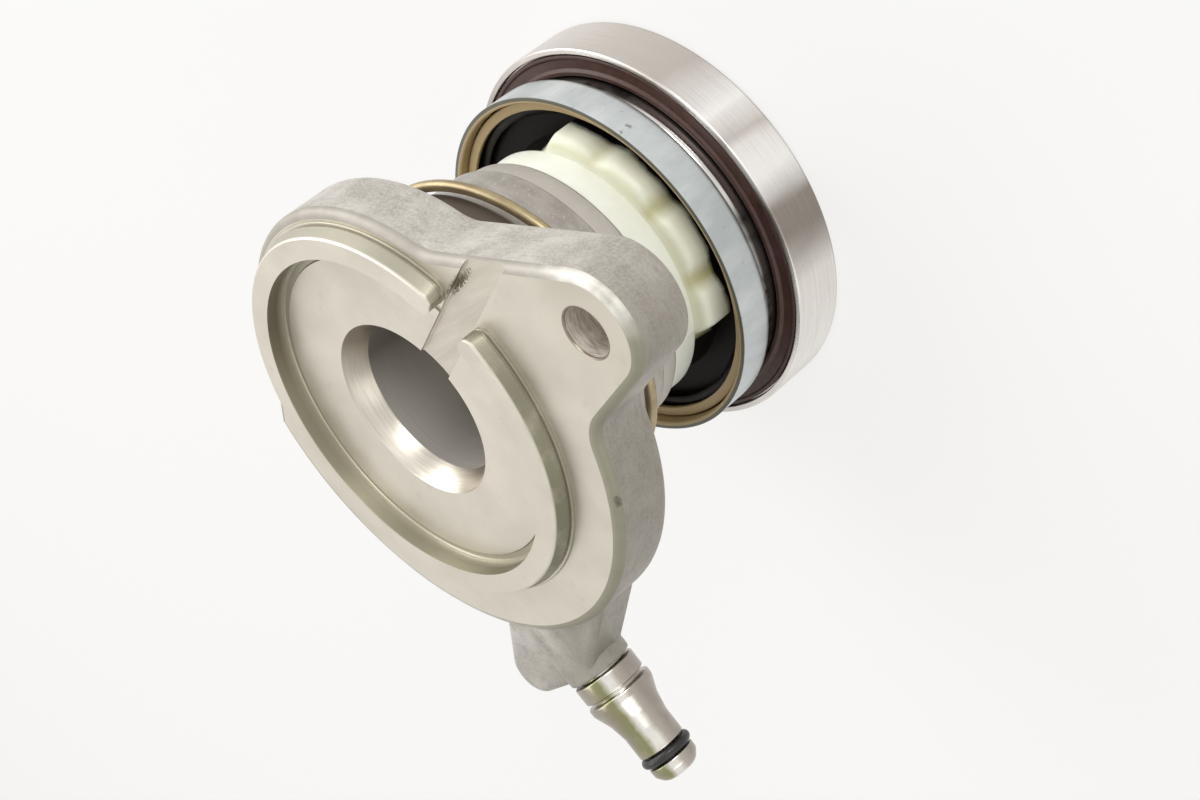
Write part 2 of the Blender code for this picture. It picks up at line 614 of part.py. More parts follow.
def build_wire_ring(material):
    """Split wire ring sprung round the cylinder's shoulder."""
    centre_radius = SHOULDER_RADIUS + SEAT_GAP + WIRE_RADIUS
    start = WIRE_RING_GAP_ANGLE + 0.5 * WIRE_RING_GAP
    span = 2.0 * math.pi - WIRE_RING_GAP
    slope = centre_radius * math.tan(WIRE_RING_TILT)
    loops = []
    for i in range(TURNED_SEGMENTS + 1):
        angle = start + span * i / TURNED_SEGMENTS
        height = WIRE_RING_HEIGHT + slope * math.cos(angle - WIRE_RING_HIGH_SIDE)
        section = arc((centre_radius, height), WIRE_RADIUS, 0.0, 2.0 * math.pi, 6)[:-1]
        loops.append([Vector((r * math.cos(angle), r * math.sin(angle), z)) for r, z in section])
    return add_object("wire_ring", skin(loops, closed=False), material)


def nipple_profile():
    """(radius, distance) points of the nipple's outside, from its buried end to its nose."""
    collar_start = SEAT_GAP * 1.7
    collar_end = collar_start + NIPPLE_COLLAR_LENGTH
    barb_start = collar_end + NIPPLE_GROOVE_LENGTH
    barb_end = barb_start + NIPPLE_BARB_LENGTH
    nose_start = NIPPLE_LENGTH - NIPPLE_NOSE_LENGTH
    groove_end = nose_start - NIPPLE_LAND_LENGTH
    groove_start = groove_end - 2.0 * (NIPPLE_O_RING_SECTION + SEAT_GAP)
    edge = SEAT_GAP
    barb = NIPPLE_BARB_RADIUS - NIPPLE_STEM_RADIUS
    return [
        (NIPPLE_SPIGOT_RADIUS - edge, -NIPPLE_SPIGOT_LENGTH),
        (NIPPLE_SPIGOT_RADIUS, -NIPPLE_SPIGOT_LENGTH + edge),
        (NIPPLE_SPIGOT_RADIUS, collar_start),
        (NIPPLE_COLLAR_RADIUS - edge, collar_start),
        (NIPPLE_COLLAR_RADIUS, collar_start + edge),
        (NIPPLE_COLLAR_RADIUS, collar_end - edge),
        (NIPPLE_GROOVE_RADIUS, collar_end),
        (NIPPLE_GROOVE_RADIUS, barb_start),
        (NIPPLE_BARB_RADIUS, barb_start),
        (NIPPLE_BARB_RADIUS, barb_start + edge * 4.0),
        (NIPPLE_STEM_RADIUS + barb * 0.35, barb_start + NIPPLE_BARB_LENGTH * 0.6),
        (NIPPLE_STEM_RADIUS, barb_end),
        (NIPPLE_STEM_RADIUS, groove_start),
        (NIPPLE_O_RING_GROOVE, groove_start),
        (NIPPLE_O_RING_GROOVE, groove_end),
        (NIPPLE_STEM_RADIUS, groove_end),
        (NIPPLE_STEM_RADIUS, nose_start),
        (NIPPLE_NOSE_RADIUS + (NIPPLE_STEM_RADIUS - NIPPLE_NOSE_RADIUS) * 0.6,
         nose_start + NIPPLE_NOSE_LENGTH * 0.7),
        (NIPPLE_NOSE_RADIUS, NIPPLE_LENGTH),
    ]


def build_inlet_nipple(material):
    """Turned quick-connector nipple, pressed into the boss."""
    profile = [(NIPPLE_BORE, -NIPPLE_SPIGOT_LENGTH)] + nipple_profile() + [(NIPPLE_BORE, NIPPLE_LENGTH)]
    builder = turned(profile, SMALL_SEGMENTS)
    builder.transform(nipple_frame())
    return add_object("inlet_nipple", builder, material)


def build_nipple_o_ring(material):
    """Rubber ring in the groove behind the nipple's nose."""
    centre_radius = NIPPLE_O_RING_GROOVE + SEAT_GAP + NIPPLE_O_RING_SECTION
    along = NIPPLE_LENGTH - NIPPLE_NOSE_LENGTH - NIPPLE_LAND_LENGTH - NIPPLE_O_RING_SECTION - SEAT_GAP
    builder = o_ring(centre_radius, 0.0, NIPPLE_O_RING_SECTION, SMALL_SEGMENTS)
    builder.transform(nipple_frame(along))
    return add_object("nipple_o_ring", builder, material)


# Piston and its seal

def lobed_loop(valley_radius, lobe_radius, height):
    """Outline of the piston head: rounded pads with narrow valleys between them."""
    samples = LOBE_COUNT * 6
    loop = []
    for i in range(samples):
        angle = 2.0 * math.pi * i / samples + LOBE_PHASE
        wave = abs(math.cos(0.5 * LOBE_COUNT * (angle - LOBE_PHASE)))
        radius = valley_radius + (lobe_radius - valley_radius) * wave ** 0.5
        loop.append(Vector((radius * math.cos(angle), radius * math.sin(angle), height)))
    return loop


def build_piston(material):
    """Moulded ring piston: skirt in the cylinder, stop rim, lobed head and bearing flange."""
    rim_bottom = HEAD_TOP - HEAD_RIM_LENGTH
    crown = rim_bottom - LOBE_SLOPE_LENGTH
    valley = LOBE_RADIUS - LOBE_VALLEY
    edge = LOBE_RADIUS - LOBE_EDGE_WIDTH
    outside = [
        (PISTON_RADIUS, PISTON_RADIUS, PISTON_TOP),
        (PISTON_RADIUS, PISTON_RADIUS, HEAD_TOP),
        (HEAD_RIM_RADIUS - HEAD_EDGE, HEAD_RIM_RADIUS - HEAD_EDGE, HEAD_TOP),
        (HEAD_RIM_RADIUS, HEAD_RIM_RADIUS, HEAD_TOP - HEAD_EDGE),
        (HEAD_RIM_RADIUS, HEAD_RIM_RADIUS, rim_bottom),
        (HEAD_RIM_RADIUS + HEAD_EDGE, edge, crown + LOBE_EDGE_RISE),
        (valley - LOBE_VALLEY_RISE, LOBE_RADIUS, crown - LOBE_CROWN_DROP),
        (valley, LOBE_RADIUS, HEAD_FLANGE_TOP),
        (HEAD_FLANGE_RADIUS, HEAD_FLANGE_RADIUS, HEAD_FLANGE_TOP),
        (HEAD_FLANGE_RADIUS, HEAD_FLANGE_RADIUS, HEAD_BOTTOM),
        (PISTON_BORE, PISTON_BORE, HEAD_BOTTOM),
        (PISTON_BORE, PISTON_BORE, PISTON_TOP),
    ]
    loops = [lobed_loop(valley, crest, height) for valley, crest, height in outside]
    return add_object("piston", skin(loops, closed=True), material)


def build_piston_seal(material):
    """Ring seal on the piston's end, with a vee that pressure spreads against both walls."""
    middle = 0.5 * (PISTON_BORE + PISTON_RADIUS)
    return add_object("piston_seal", turned([
        (PISTON_BORE, SEAL_BOTTOM),
        (PISTON_RADIUS, SEAL_BOTTOM),
        (PISTON_RADIUS, SEAL_TOP),
        (PISTON_RADIUS - SEAL_LIP_WALL, SEAL_TOP),
        (middle, SEAL_TOP - SEAL_VEE_DEPTH),
        (PISTON_BORE + SEAL_LIP_WALL, SEAL_TOP),
        (PISTON_BORE, SEAL_TOP),
    ]), material)


# Self-centring carrier

def build_wave_spring(material):
    """Flat wave washer that presses the bearing's cup against the piston's flange."""
    low = HEAD_FLANGE_TOP + SEAT_GAP
    high = SNAP_RING_BOTTOM - SEAT_GAP - WAVE_STRIP
    middle = 0.5 * (low + high)
    swing = 0.5 * (high - low)

    def loop(radius, lift):
        points = []
        for point in circle(radius, middle + lift, TURNED_SEGMENTS):
            angle = math.atan2(point.y, point.x)
            points.append(point + Vector((0.0, 0.0, swing * math.cos(WAVE_COUNT * angle))))
        return points

    strip = [loop(WAVE_BORE, 0.0), loop(WAVE_RADIUS, 0.0),
             loop(WAVE_RADIUS, WAVE_STRIP), loop(WAVE_BORE, WAVE_STRIP)]
    return add_object("wave_spring", skin(strip, closed=True), material)


def build_bearing_cup(material):
    """Pressed cup: a hub in the inner ring's bore, a flat floor and an upright wall."""
    hub_radius = INNER_RING_BORE - SEAT_GAP
    hub_bore = hub_radius - CUP_SHEET
    outer_corner = arc((CUP_RADIUS - CUP_CORNER_RADIUS, CUP_BOTTOM + CUP_CORNER_RADIUS),
                       CUP_CORNER_RADIUS, -0.5 * math.pi, 0.0, 2)
    inner_radius = CUP_CORNER_RADIUS - CUP_SHEET
    inner_corner = arc((CUP_BORE - inner_radius, CUP_FLOOR + inner_radius), inner_radius,
                       0.0, -0.5 * math.pi, 1)
    profile = [(hub_bore, CUP_BOTTOM - CUP_HUB_DEPTH), (hub_radius, CUP_BOTTOM - CUP_HUB_DEPTH),
               (hub_radius, CUP_BOTTOM)]
    profile += outer_corner
    profile += [(CUP_RADIUS, CUP_RIM - SEAT_GAP), (CUP_RADIUS - SEAT_GAP, CUP_RIM), (CUP_BORE, CUP_RIM)]
    profile += inner_corner
    profile.append((hub_bore, CUP_FLOOR))
    return add_object("bearing_cup", turned(profile), material)


def build_snap_ring(material):
    """Retaining ring inside the cup's rim, over the wave washer."""
    return add_object("snap_ring", turned([
        (SNAP_RING_BORE, SNAP_RING_BOTTOM),
        (SNAP_RING_RADIUS, SNAP_RING_BOTTOM),
        (SNAP_RING_RADIUS, SNAP_RING_TOP),
        (SNAP_RING_BORE, SNAP_RING_TOP),
    ]), material)


# Release bearing

def race(side, land_radius):
    """Groove arc from its low edge to its high edge; side is +1 outside the balls, -1 inside."""
    reach = side * (land_radius - BALL_PITCH_RADIUS)
    half = math.acos(reach / RACE_RADIUS)
    middle = 0.0 if side > 0 else math.pi
    return arc((BALL_PITCH_RADIUS, BALL_HEIGHT), RACE_RADIUS, middle - side * half, middle + side * half, 3)


def build_inner_ring(material):
    """Still ring: ball groove below, wide polished shoulder above."""
    foot = CONTACT_WALL + INNER_RING_FOOT_GAP
    profile = [(INNER_RING_BORE, foot), (INNER_LAND_RADIUS, foot)]
    profile += race(-1, INNER_LAND_RADIUS)
    profile += [
        (INNER_LAND_RADIUS, SEAL_BASE),
        (INNER_SHOULDER_RADIUS, SEAL_BASE),
        (INNER_SHOULDER_RADIUS, INNER_RING_TOP - SEAT_GAP),
        (INNER_SHOULDER_RADIUS - SEAT_GAP, INNER_RING_TOP),
        (INNER_RING_BORE, INNER_RING_TOP),
    ]
    return add_object("inner_ring", turned(profile), material)


def build_outer_ring(material):
    """Turning ring: contact wall with an inner lip, ball groove and a recess for the seal."""
    lip_bore = CONTACT_LIP_RADIUS - CONTACT_LIP_WALL
    profile = [
        (lip_bore + SEAT_GAP, 0.0),
        (BEARING_RADIUS - OUTER_RING_EDGE, 0.0),
        (BEARING_RADIUS, OUTER_RING_EDGE),
        (BEARING_RADIUS, BEARING_WIDTH - 0.5 * OUTER_RING_EDGE),
        (BEARING_RADIUS - 0.5 * OUTER_RING_EDGE, BEARING_WIDTH),
        (SEAL_RECESS_RADIUS, BEARING_WIDTH),
        (SEAL_RECESS_RADIUS, SEAL_SHELF),
        (OUTER_LAND_RADIUS, SEAL_SHELF),
    ]
    profile += race(1, OUTER_LAND_RADIUS)[::-1]
    profile += [
        (OUTER_LAND_RADIUS, CONTACT_WALL),
        (CONTACT_LIP_RADIUS, CONTACT_WALL),
        (CONTACT_LIP_RADIUS, CONTACT_WALL + CONTACT_LIP_HEIGHT),
        (lip_bore, CONTACT_WALL + CONTACT_LIP_HEIGHT),
        (lip_bore, SEAT_GAP),
    ]
    return add_object("outer_ring", turned(profile), material)


def build_rear_seal(material):
    """Rubber seal disc seated in the outer ring, its lip close to the inner ring's shoulder."""
    bore = INNER_SHOULDER_RADIUS + RUN_GAP
    edge = SEAL_RECESS_RADIUS - SEAT_GAP
    face = SEAL_BASE + SEAL_THICKNESS
    width = edge - bore
    return add_object("rear_seal", turned([
        (bore, SEAL_BASE),
        (edge, SEAL_BASE),
        (edge, face),
        (bore + 0.55 * width, face - 0.3 * SEAL_THICKNESS),
        (bore + 0.25 * width, face),
        (bore, face + 0.3 * SEAL_THICKNESS),
    ]), material)


def ball_places():
    """Centres of the balls, evenly spread on the pitch circle."""
    return [point for point in circle(BALL_PITCH_RADIUS, BALL_HEIGHT, BALL_COUNT)]


def build_cage(material):
    """Crown cage: a ring above the balls with pockets that clip below their middle."""
    half_wall = 0.5 * CAGE_WALL
    bottom = BALL_HEIGHT - CAGE_CLIP_DEPTH
    cage = add_object("ball_cage", turned([
        (BALL_PITCH_RADIUS - half_wall, bottom),
        (BALL_PITCH_RADIUS + half_wall, bottom),
        (BALL_PITCH_RADIUS + half_wall, CAGE_TOP),
        (BALL_PITCH_RADIUS - half_wall, CAGE_TOP),
    ]), material)
    pockets = bmesh.new()
    for centre in ball_places():
        bmesh.ops.create_uvsphere(pockets, u_segments=10, v_segments=6, radius=RACE_RADIUS,
                                  matrix=Matrix.Translation(centre))
    boolean(cage, add_object("cage_pockets", pockets), 'DIFFERENCE')
    return cage


def build_balls(material):
    """Bearing balls, each a piece of its own, sharing one mesh."""
    builder = bmesh.new()
    bmesh.ops.create_uvsphere(builder, u_segments=8, v_segments=6, radius=BALL_RADIUS)
    first = add_object("ball_01", builder, material)
    first.location = ball_places()[0]
    for number, centre in enumerate(ball_places()[1:], start=2):
        ball = bpy.data.objects.new(f"ball_{number:02d}", first.data)
        bpy.context.scene.collection.objects.link(ball)
        ball.location = centre


def build_all():
    """Make every piece of the slave cylinder."""
    clear_scene()
    cast = make_material("cast_aluminium", "#CFC8BB", 0.9, 0.42)
    steel = make_material("turned_steel", "#C9C7C2", 1.0, 0.25)
    ring_steel = make_material("bearing_steel", "#C6BEB5", 1.0, 0.22)
    zinc = make_material("zinc_plated_steel", "#C5C8C6", 0.8, 0.38)
    gold = make_material("yellow_passivated_steel", "#B5A67D", 0.9, 0.35)
    spring_steel = make_material("dark_spring_steel", "#3A3835", 0.8, 0.45)
    plastic = make_material("cream_plastic", "#E6E7D6", 0.0, 0.45)
    black_rubber = make_material("black_rubber", "#1C1B1A", 0.0, 0.55)
    brown_rubber = make_material("brown_rubber", "#4A2D25", 0.0, 0.5)
    cage_plastic = make_material("cage_plastic", "#8A6A45", 0.0, 0.5)

    build_housing(cast)
    build_guide_sleeve(steel)
    build_sleeve_o_ring(black_rubber)
    build_wire_ring(gold)
    build_inlet_nipple(steel)
    build_nipple_o_ring(black_rubber)
    build_piston(plastic)
    build_piston_seal(black_rubber)
    build_wave_spring(spring_steel)
    build_bearing_cup(zinc)
    build_snap_ring(gold)
    build_inner_ring(ring_steel)
    build_outer_ring(ring_steel)
    build_rear_seal(brown_rubber)
    build_cage(cage_plastic)
    build_balls(ring_steel)


build_all()
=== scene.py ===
"""Finished look of a concentric clutch slave cylinder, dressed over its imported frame.

Every length is in metres. The bore axis is the world Z axis, zero lies on the bearing's
contact face and the mounting flange is at the top.
"""
import math

import bmesh
import bpy
from mathutils import Matrix, Vector


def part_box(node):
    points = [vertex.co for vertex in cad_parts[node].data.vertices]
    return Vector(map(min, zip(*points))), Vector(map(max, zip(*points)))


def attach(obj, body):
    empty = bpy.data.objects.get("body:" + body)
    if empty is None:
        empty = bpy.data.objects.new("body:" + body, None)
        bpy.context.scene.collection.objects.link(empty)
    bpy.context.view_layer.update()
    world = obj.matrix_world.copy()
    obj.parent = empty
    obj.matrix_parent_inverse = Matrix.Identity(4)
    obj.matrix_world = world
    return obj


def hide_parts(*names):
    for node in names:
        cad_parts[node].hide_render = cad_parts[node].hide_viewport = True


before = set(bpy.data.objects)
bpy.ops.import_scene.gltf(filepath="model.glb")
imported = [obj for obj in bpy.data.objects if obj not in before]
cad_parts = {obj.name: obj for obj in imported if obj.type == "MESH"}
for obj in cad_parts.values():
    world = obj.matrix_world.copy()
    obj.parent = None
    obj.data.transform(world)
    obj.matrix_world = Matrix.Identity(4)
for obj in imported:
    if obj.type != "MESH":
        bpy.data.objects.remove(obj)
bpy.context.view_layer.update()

MM = 0.001

# Facets of the finished pieces
ROUND = 240
SMALL_ROUND = 96
ARC_STEP = math.radians(2.0)
SHARP_ANGLE = math.radians(35.0)
CASTING_SHARP_ANGLE = math.radians(23.5)
FULL_TURN = 2.0 * math.pi
SPIGOT_STEPS = 220
SPIGOT_END_STEPS = 12
WIRE_STEPS = 260
HEAD_STEPS = 26
SAMPLES_PER_LOBE = 28


def heights(node):
    """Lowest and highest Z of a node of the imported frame."""
    low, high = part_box(node)
    return low.z, high.z


# Heights read from the frame
CONTACT_FACE, BEARING_REAR = heights("outer_ring")
INNER_RING_FOOT, INNER_RING_TOP = heights("inner_ring")
CUP_HUB_FOOT, CUP_RIM = heights("bearing_cup")
HEAD_BOTTOM, PISTON_TOP = heights("piston")
SEAL_BOTTOM, SEAL_TOP = heights("piston_seal")
SNAP_BOTTOM, SNAP_TOP = heights("snap_ring")
WAVE_BOTTOM, WAVE_TOP = heights("wave_spring")
MOUTH, SPIGOT_TOP = heights("housing")
SLEEVE_FOOT, SLEEVE_TOP = heights("guide_sleeve")
REAR_SEAL_BASE, REAR_SEAL_TOP = heights("rear_seal")
SLEEVE_SEAL_HEIGHT = 0.5 * sum(heights("sleeve_o_ring"))
WIRE_HEIGHT = 0.5 * sum(heights("wire_ring"))

# Bearing
BEARING_RADIUS = 37.0 * MM
BALL_RADIUS = 2.75 * MM
BALL_PITCH = 31.0 * MM
BALL_HEIGHT = 5.7 * MM
BALL_COUNT = 16
RACE_RADIUS = 3.05 * MM
OUTER_LAND = 33.45 * MM
INNER_LAND = 28.95 * MM
INNER_SHOULDER = 31.5 * MM
INNER_BORE = 26.35 * MM
CONTACT_WALL = 2.3 * MM
CONTACT_LIP = 25.95 * MM
CONTACT_LIP_WALL = 1.0 * MM
SEAL_RECESS = 35.9 * MM

# Angle round the ring in degrees, and tone, of the light and dark bands of painted reflection on the
# bearing
BEARING_PAINTED_REFLECTIONS = [
    (-180.0, "#BDB6AE"), (-120.0, "#A39B93"), (-60.0, "#EFEBE7"), (-32.0, "#E6E2DD"), (-18.0, "#8A827A"),
    (-11.0, "#8F877F"), (-1.0, "#FBF9F7"), (7.0, "#EDE9E5"), (11.0, "#C9C2BB"), (17.0, "#FBF9F7"),
    (35.0, "#C4BDB6"), (55.0, "#CFC8C1"), (80.0, "#D9D3CD"), (130.0, "#A69E96"), (180.0, "#BDB6AE"),
]

# Position across the nipple from its shaded foot to its lit side, and tone of the painted shade, olive
# reflection and highlight
NIPPLE_PAINTED_LIGHT = [
    (0.0, "#9C948B"), (0.20, "#8E8A6E"), (0.32, "#8B8B64"), (0.39, "#C0BEAD"), (0.44, "#E6E3DC"),
    (0.57, "#E6E3DC"), (0.67, "#B5ADA3"), (0.85, "#9C948B"), (1.0, "#A39B93"),
]

# Cup, snap ring and wave spring
CUP_RADIUS = 33.4 * MM
CUP_SHEET = 1.3 * MM
CUP_CORNER = 1.6 * MM
HUB_RADIUS = 26.05 * MM
SNAP_BORE = 30.03 * MM
SNAP_RADIUS = 31.83 * MM
WAVE_BORE = 28.6 * MM
WAVE_RADIUS = 31.0 * MM
WAVE_COUNT = 4
WAVE_STRIP = 0.5 * MM

# Piston
PISTON_BORE = 16.7 * MM
PISTON_RADIUS = 22.3 * MM
HEAD_RIM = 24.5 * MM
HEAD_RIM_LENGTH = 5.6 * MM
HOLLOW_DEPTH = 1.6 * MM
VALLEY_DEPTH = 0.9 * MM
LOBE_RADIUS = 27.5 * MM
HEAD_FLANGE = 29.4 * MM
HEAD_FLANGE_THICKNESS = 1.2 * MM
LOBE_COUNT = 12
LOBE_PHASE = math.radians(25.0)
PAD_SECTOR_MIDDLE = math.radians(10.0)
PAD_SECTOR_HALF = math.radians(60.0)
# Top of the black on the piston's head: old grease and painted shade
GREASE_AND_SHADE_TOP = 18.4 * MM

# Sleeve and wire ring
SLEEVE_BORE = 14.4 * MM
SLEEVE_RADIUS = 16.4 * MM
WIRE_RADIUS = 1.0 * MM
WIRE_GAP = math.radians(9.0)
WIRE_GAP_ANGLE = math.radians(200.0)
WIRE_TILT = math.radians(4.1)
WIRE_HIGH_SIDE = math.radians(120.0)

# Casting
SPIGOT_HEIGHT = 3.4 * MM
FACE = SPIGOT_TOP - SPIGOT_HEIGHT
FLANGE_BACK = FACE - 12.0 * MM
FLANGE_RADIUS = 45.0 * MM
WAIST_RADIUS = 37.5 * MM
STEP_RADIUS = 41.8 * MM
STEP_ANGLES = [math.radians(157.0), math.radians(163.3), math.radians(169.6)]
FRONT_FILLET = 1.5 * MM
BACK_FILLET = 2.0 * MM
EAR_REACH = 57.1 * MM
EAR_RADIUS = 10.0 * MM
EAR_HOLE = 4.25 * MM
WAIST_FLANK = math.radians(68.0)
WAIST_FLANK_FILLET = 10.0 * MM
LOWER_FLANK = math.radians(-74.5)
LOWER_FLANK_FILLET = 8.0 * MM
SPIGOT_INNER = 30.5 * MM
SPIGOT_FOOT = 35.7 * MM
SPIGOT_CREST = 34.4 * MM
SPIGOT_GAP = 6.5 * MM
DRAIN_ANGLE = math.radians(19.0)
DRAIN_WIDTH = 6.3 * MM
DRAIN_DEPTH = 0.8 * MM
CYLINDER_BORE = 22.6 * MM
CYLINDER_RADIUS = 26.6 * MM
BAND_RADIUS = 25.6 * MM
BAND_TOP = MOUTH + 4.4 * MM
SHOULDER_RADIUS = 28.0 * MM
SHOULDER_LENGTH = 11.35 * MM
CHAMBER_END = SEAL_TOP + 3.15 * MM
SLEEVE_SEAT_END = SLEEVE_TOP + 0.3 * MM
LEDGE_TOP = FACE - 4.25 * MM
CONE_WIDTH = 1.9 * MM

# Level directions towards the side of the flange that gets painted shade and the lit side of the bore
SHADED_SIDE = (0.55, -0.83)
BORE_LIGHT = (-0.956, -0.292)

# Place, turn and size of each single mark on the flange
GOUGE = ((35.0 * MM, 14.9 * MM, FACE), math.radians(11.0), (5.2 * MM, 1.0 * MM, 3.0 * MM))
NICK = ((36.6 * MM, -26.3 * MM, FACE - 0.3 * MM), math.radians(60.0), (1.6 * MM, 0.7 * MM, 1.5 * MM))
STAIN = ((63.5 * MM, -0.6 * MM, FACE - 0.6 * MM), 0.0, (1.3 * MM, 2.4 * MM, 1.2 * MM))

# Inlet boss: the lug's place from the nipple's foot, its size, and the angles of its side and of the flare
LUG_ACROSS = 13.5 * MM
LUG_BACK = 5.6 * MM
LUG_RADIUS = 4.9 * MM
LUG_FLANK = 12.9 * MM
LUG_SIDE = math.radians(137.0)
BOSS_FLARE = math.radians(-77.0)
BOSS_BACK_STEP = 1.2 * MM
BOSS_FRONT_STEP = 1.6 * MM
BOSS_FILLET = 1.5 * MM

# Nipple
NIPPLE_BASE = Vector((-9.3 * MM, -56.2 * MM, FACE - 6.2 * MM))
NIPPLE_HEADING = math.radians(-83.15)
NIPPLE_DIRECTION = Vector((math.cos(NIPPLE_HEADING), math.sin(NIPPLE_HEADING), 0.0))
SOCKET_RADIUS = 6.1 * MM
O_RING_ALONG = 18.16 * MM
O_RING_CENTRE = 4.1 * MM
O_RING_SECTION = 0.9 * MM

# Studio: radius of the floor, share of its shown tone, and strength of the light from all round
FLOOR_RADIUS = 3.0
FLOOR_GLOW = 0.84
SURROUND_STRENGTH = 0.52

# Nodes by plain words: type, settings, inputs in the order they are given, and the output
NODES = {
    "object": ("ShaderNodeTexCoord", {}, (), "Object"),
    "mapping": ("ShaderNodeMapping", {}, ("Vector", "Scale", "Rotation"), 0),
    "local": ("ShaderNodeMapping", {"vector_type": 'TEXTURE'},
              ("Vector", "Location", "Rotation", "Scale"), 0),
    "parts": ("ShaderNodeSeparateXYZ", {}, (0,), None),
    "vector": ("ShaderNodeCombineXYZ", {}, (0, 1, 2), 0),
    "length": ("ShaderNodeVectorMath", {"operation": 'LENGTH'}, (0,), "Value"),
    "dot": ("ShaderNodeVectorMath", {"operation": 'DOT_PRODUCT'}, (0, 1), "Value"),
    "noise": ("ShaderNodeTexNoise", {}, ("Vector", "Scale", "Detail", "Roughness"), "Fac"),
    "cells": ("ShaderNodeTexVoronoi", {}, ("Vector", "Scale"), "Distance"),
    "spread": ("ShaderNodeMapRange", {}, ("Value", "From Min", "From Max", "To Min", "To Max"), 0),
    "blend": ("ShaderNodeMix", {"data_type": 'RGBA'}, (0, 6, 7), 2),
    "ramp": ("ShaderNodeValToRGB", {}, (0, "stops"), "Color"),
    "bump": ("ShaderNodeBump", {}, ("Height", "Distance", "Strength", "Normal"), 0),
    "rays": ("ShaderNodeLightPath", {}, (), None),
    "background": ("ShaderNodeBackground", {}, ("Color", "Strength"), 0),
    "glow": ("ShaderNodeEmission", {}, ("Color", "Strength"), 0),
    "mixed": ("ShaderNodeMixShader", {}, (0, 1, 2), 0),
    "given": ("NodeGroupInput", {}, (), None),
    "result": ("NodeGroupOutput", {}, (0,), None),
    "dressed": ("GeometryNodeSetMaterial", {}, ("Geometry", "Material"), 0),
    "position": ("GeometryNodeInputPosition", {}, (), 0),
    "ring": ("GeometryNodeCurvePrimitiveCircle", {}, ("Resolution", "Radius"), 0),
    "moved": ("GeometryNodeSetPosition", {}, ("Geometry", "Offset"), 0),
    "upright": ("GeometryNodeSetCurveNormal", {"mode": 'Z_UP'}, ("Curve",), 0),
    "oblong": ("GeometryNodeCurvePrimitiveQuadrilateral", {"mode": 'RECTANGLE'}, ("Width", "Height"), 0),
    "swept": ("GeometryNodeCurveToMesh", {}, (0, 1), 0),
    "plain": ("GeometryNodeRealizeInstances", {}, (0,), 0),
    "spots": ("GeometryNodeMeshCircle", {}, ("Vertices", "Radius"), 0),
    "ball": ("GeometryNodeMeshUVSphere", {}, ("Segments", "Rings", "Radius"), 0),
    "copies": ("GeometryNodeInstanceOnPoints", {}, ("Points", "Instance"), 0),
    "raised": ("GeometryNodeTranslateInstances", {}, ("Instances", "Translation"), 0),
    "smooth": ("GeometryNodeSetShadeSmooth", {}, (0,), 0),
}
for word, operation in (("plus", 'ADD'), ("times", 'MULTIPLY'), ("most", 'MAXIMUM'), ("sine", 'SINE'),
                        ("cosine", 'COSINE'), ("absolute", 'ABSOLUTE'), ("angle", 'ARCTAN2')):
    NODES[word] = ("ShaderNodeMath", {"operation": operation}, (0, 1), 0)


# Node helpers

def linear(hex_colour):
    """sRGB hex as a linear RGBA value."""
    channels = [int(hex_colour[i:i + 2], 16) / 255.0 for i in (1, 3, 5)]
    straight = [c / 12.92 if c <= 0.04045 else ((c + 0.055) / 1.055) ** 2.4 for c in channels]
    return tuple(straight) + (1.0,)


def fill(tree, node, values):
    """Link or set a node's inputs from a dict of sockets, hex colours and plain values."""
    for name, value in values.items():
        if name == "stops":
            stops = node.color_ramp.elements
            while len(stops) < len(value):
                stops.new(0.5)
            for stop, (position, hex_colour) in zip(stops, value):
                stop.position = position
                stop.color = linear(hex_colour)
        elif isinstance(value, bpy.types.NodeSocket):
            tree.links.new(value, node.inputs[name])
        elif value is not None:
            node.inputs[name].default_value = linear(value) if isinstance(value, str) else value


def add(tree, word, *values):
    """Add one of NODES, its inputs in order; gives back its output, or the node if it has several."""
    kind, settings, inputs, output = NODES[word]
    node = tree.nodes.new(kind)
    for name, value in settings.items():
        setattr(node, name, value)
    fill(tree, node, dict(zip(inputs, values)))
    return node if output is None else node.outputs[output]


def per(size):
    """Scale of a pattern whose features are about size millimetres across."""
    return 1.0 / (size * MM)


def object_coordinates(tree, scale=(1.0, 1.0, 1.0), turn=0.0):
    """Object coordinates through a mapping; 1 unit is a metre before the scale."""
    return add(tree, "mapping", add(tree, "object"), scale, (0.0, 0.0, turn))


def axis_parts(tree):
    """Distance from the bore axis and height in metres, and the angle round the axis in radians."""
    parts = add(tree, "parts", add(tree, "object")).outputs
    radius = add(tree, "length", add(tree, "vector", parts["X"], parts["Y"]))
    return radius, parts["Z"], add(tree, "angle", parts["Y"], parts["X"])


def along(tree, direction):
    """Distance from the bore axis along a level direction."""
    return add(tree, "dot", add(tree, "object"), (direction[0], direction[1], 0.0))


def lines_every(tree, distance, spacing):
    """Wave between -1 and 1 that repeats with every spacing of a distance."""
    return add(tree, "sine", add(tree, "times", distance, FULL_TURN / spacing))


def grained(tree, size, depth, strength, under=None):
    """Normal of a fine grain, its size in millimetres and its depth in metres, over another normal."""
    grain = add(tree, "noise", object_coordinates(tree), per(size), 3.0, 0.55)
    return add(tree, "bump", grain, depth, strength, under)


def lone_mark(tree, mark):
    """1 in the middle of one oval mark and 0 outside it."""
    centre, turn, size = mark
    place = add(tree, "object")
    ragged = add(tree, "noise", place, per(0.8), 3.0)
    reach = add(tree, "length", add(tree, "local", place, centre, (0.0, 0.0, turn), size))
    return add(tree, "spread", add(tree, "plus", reach, ragged), 0.85, 1.5, 1.0, 0.0)


def layered(tree, tone, *layers):
    """A colour under (value, none at, full at, most, colour) layers, each seen where its value is full."""
    for value, none_at, full_at, most, colour in layers:
        tone = add(tree, "blend", add(tree, "spread", value, none_at, full_at, 0.0, most), tone, colour)
    return tone


# Finishes: each gives the inputs of its shader that vary

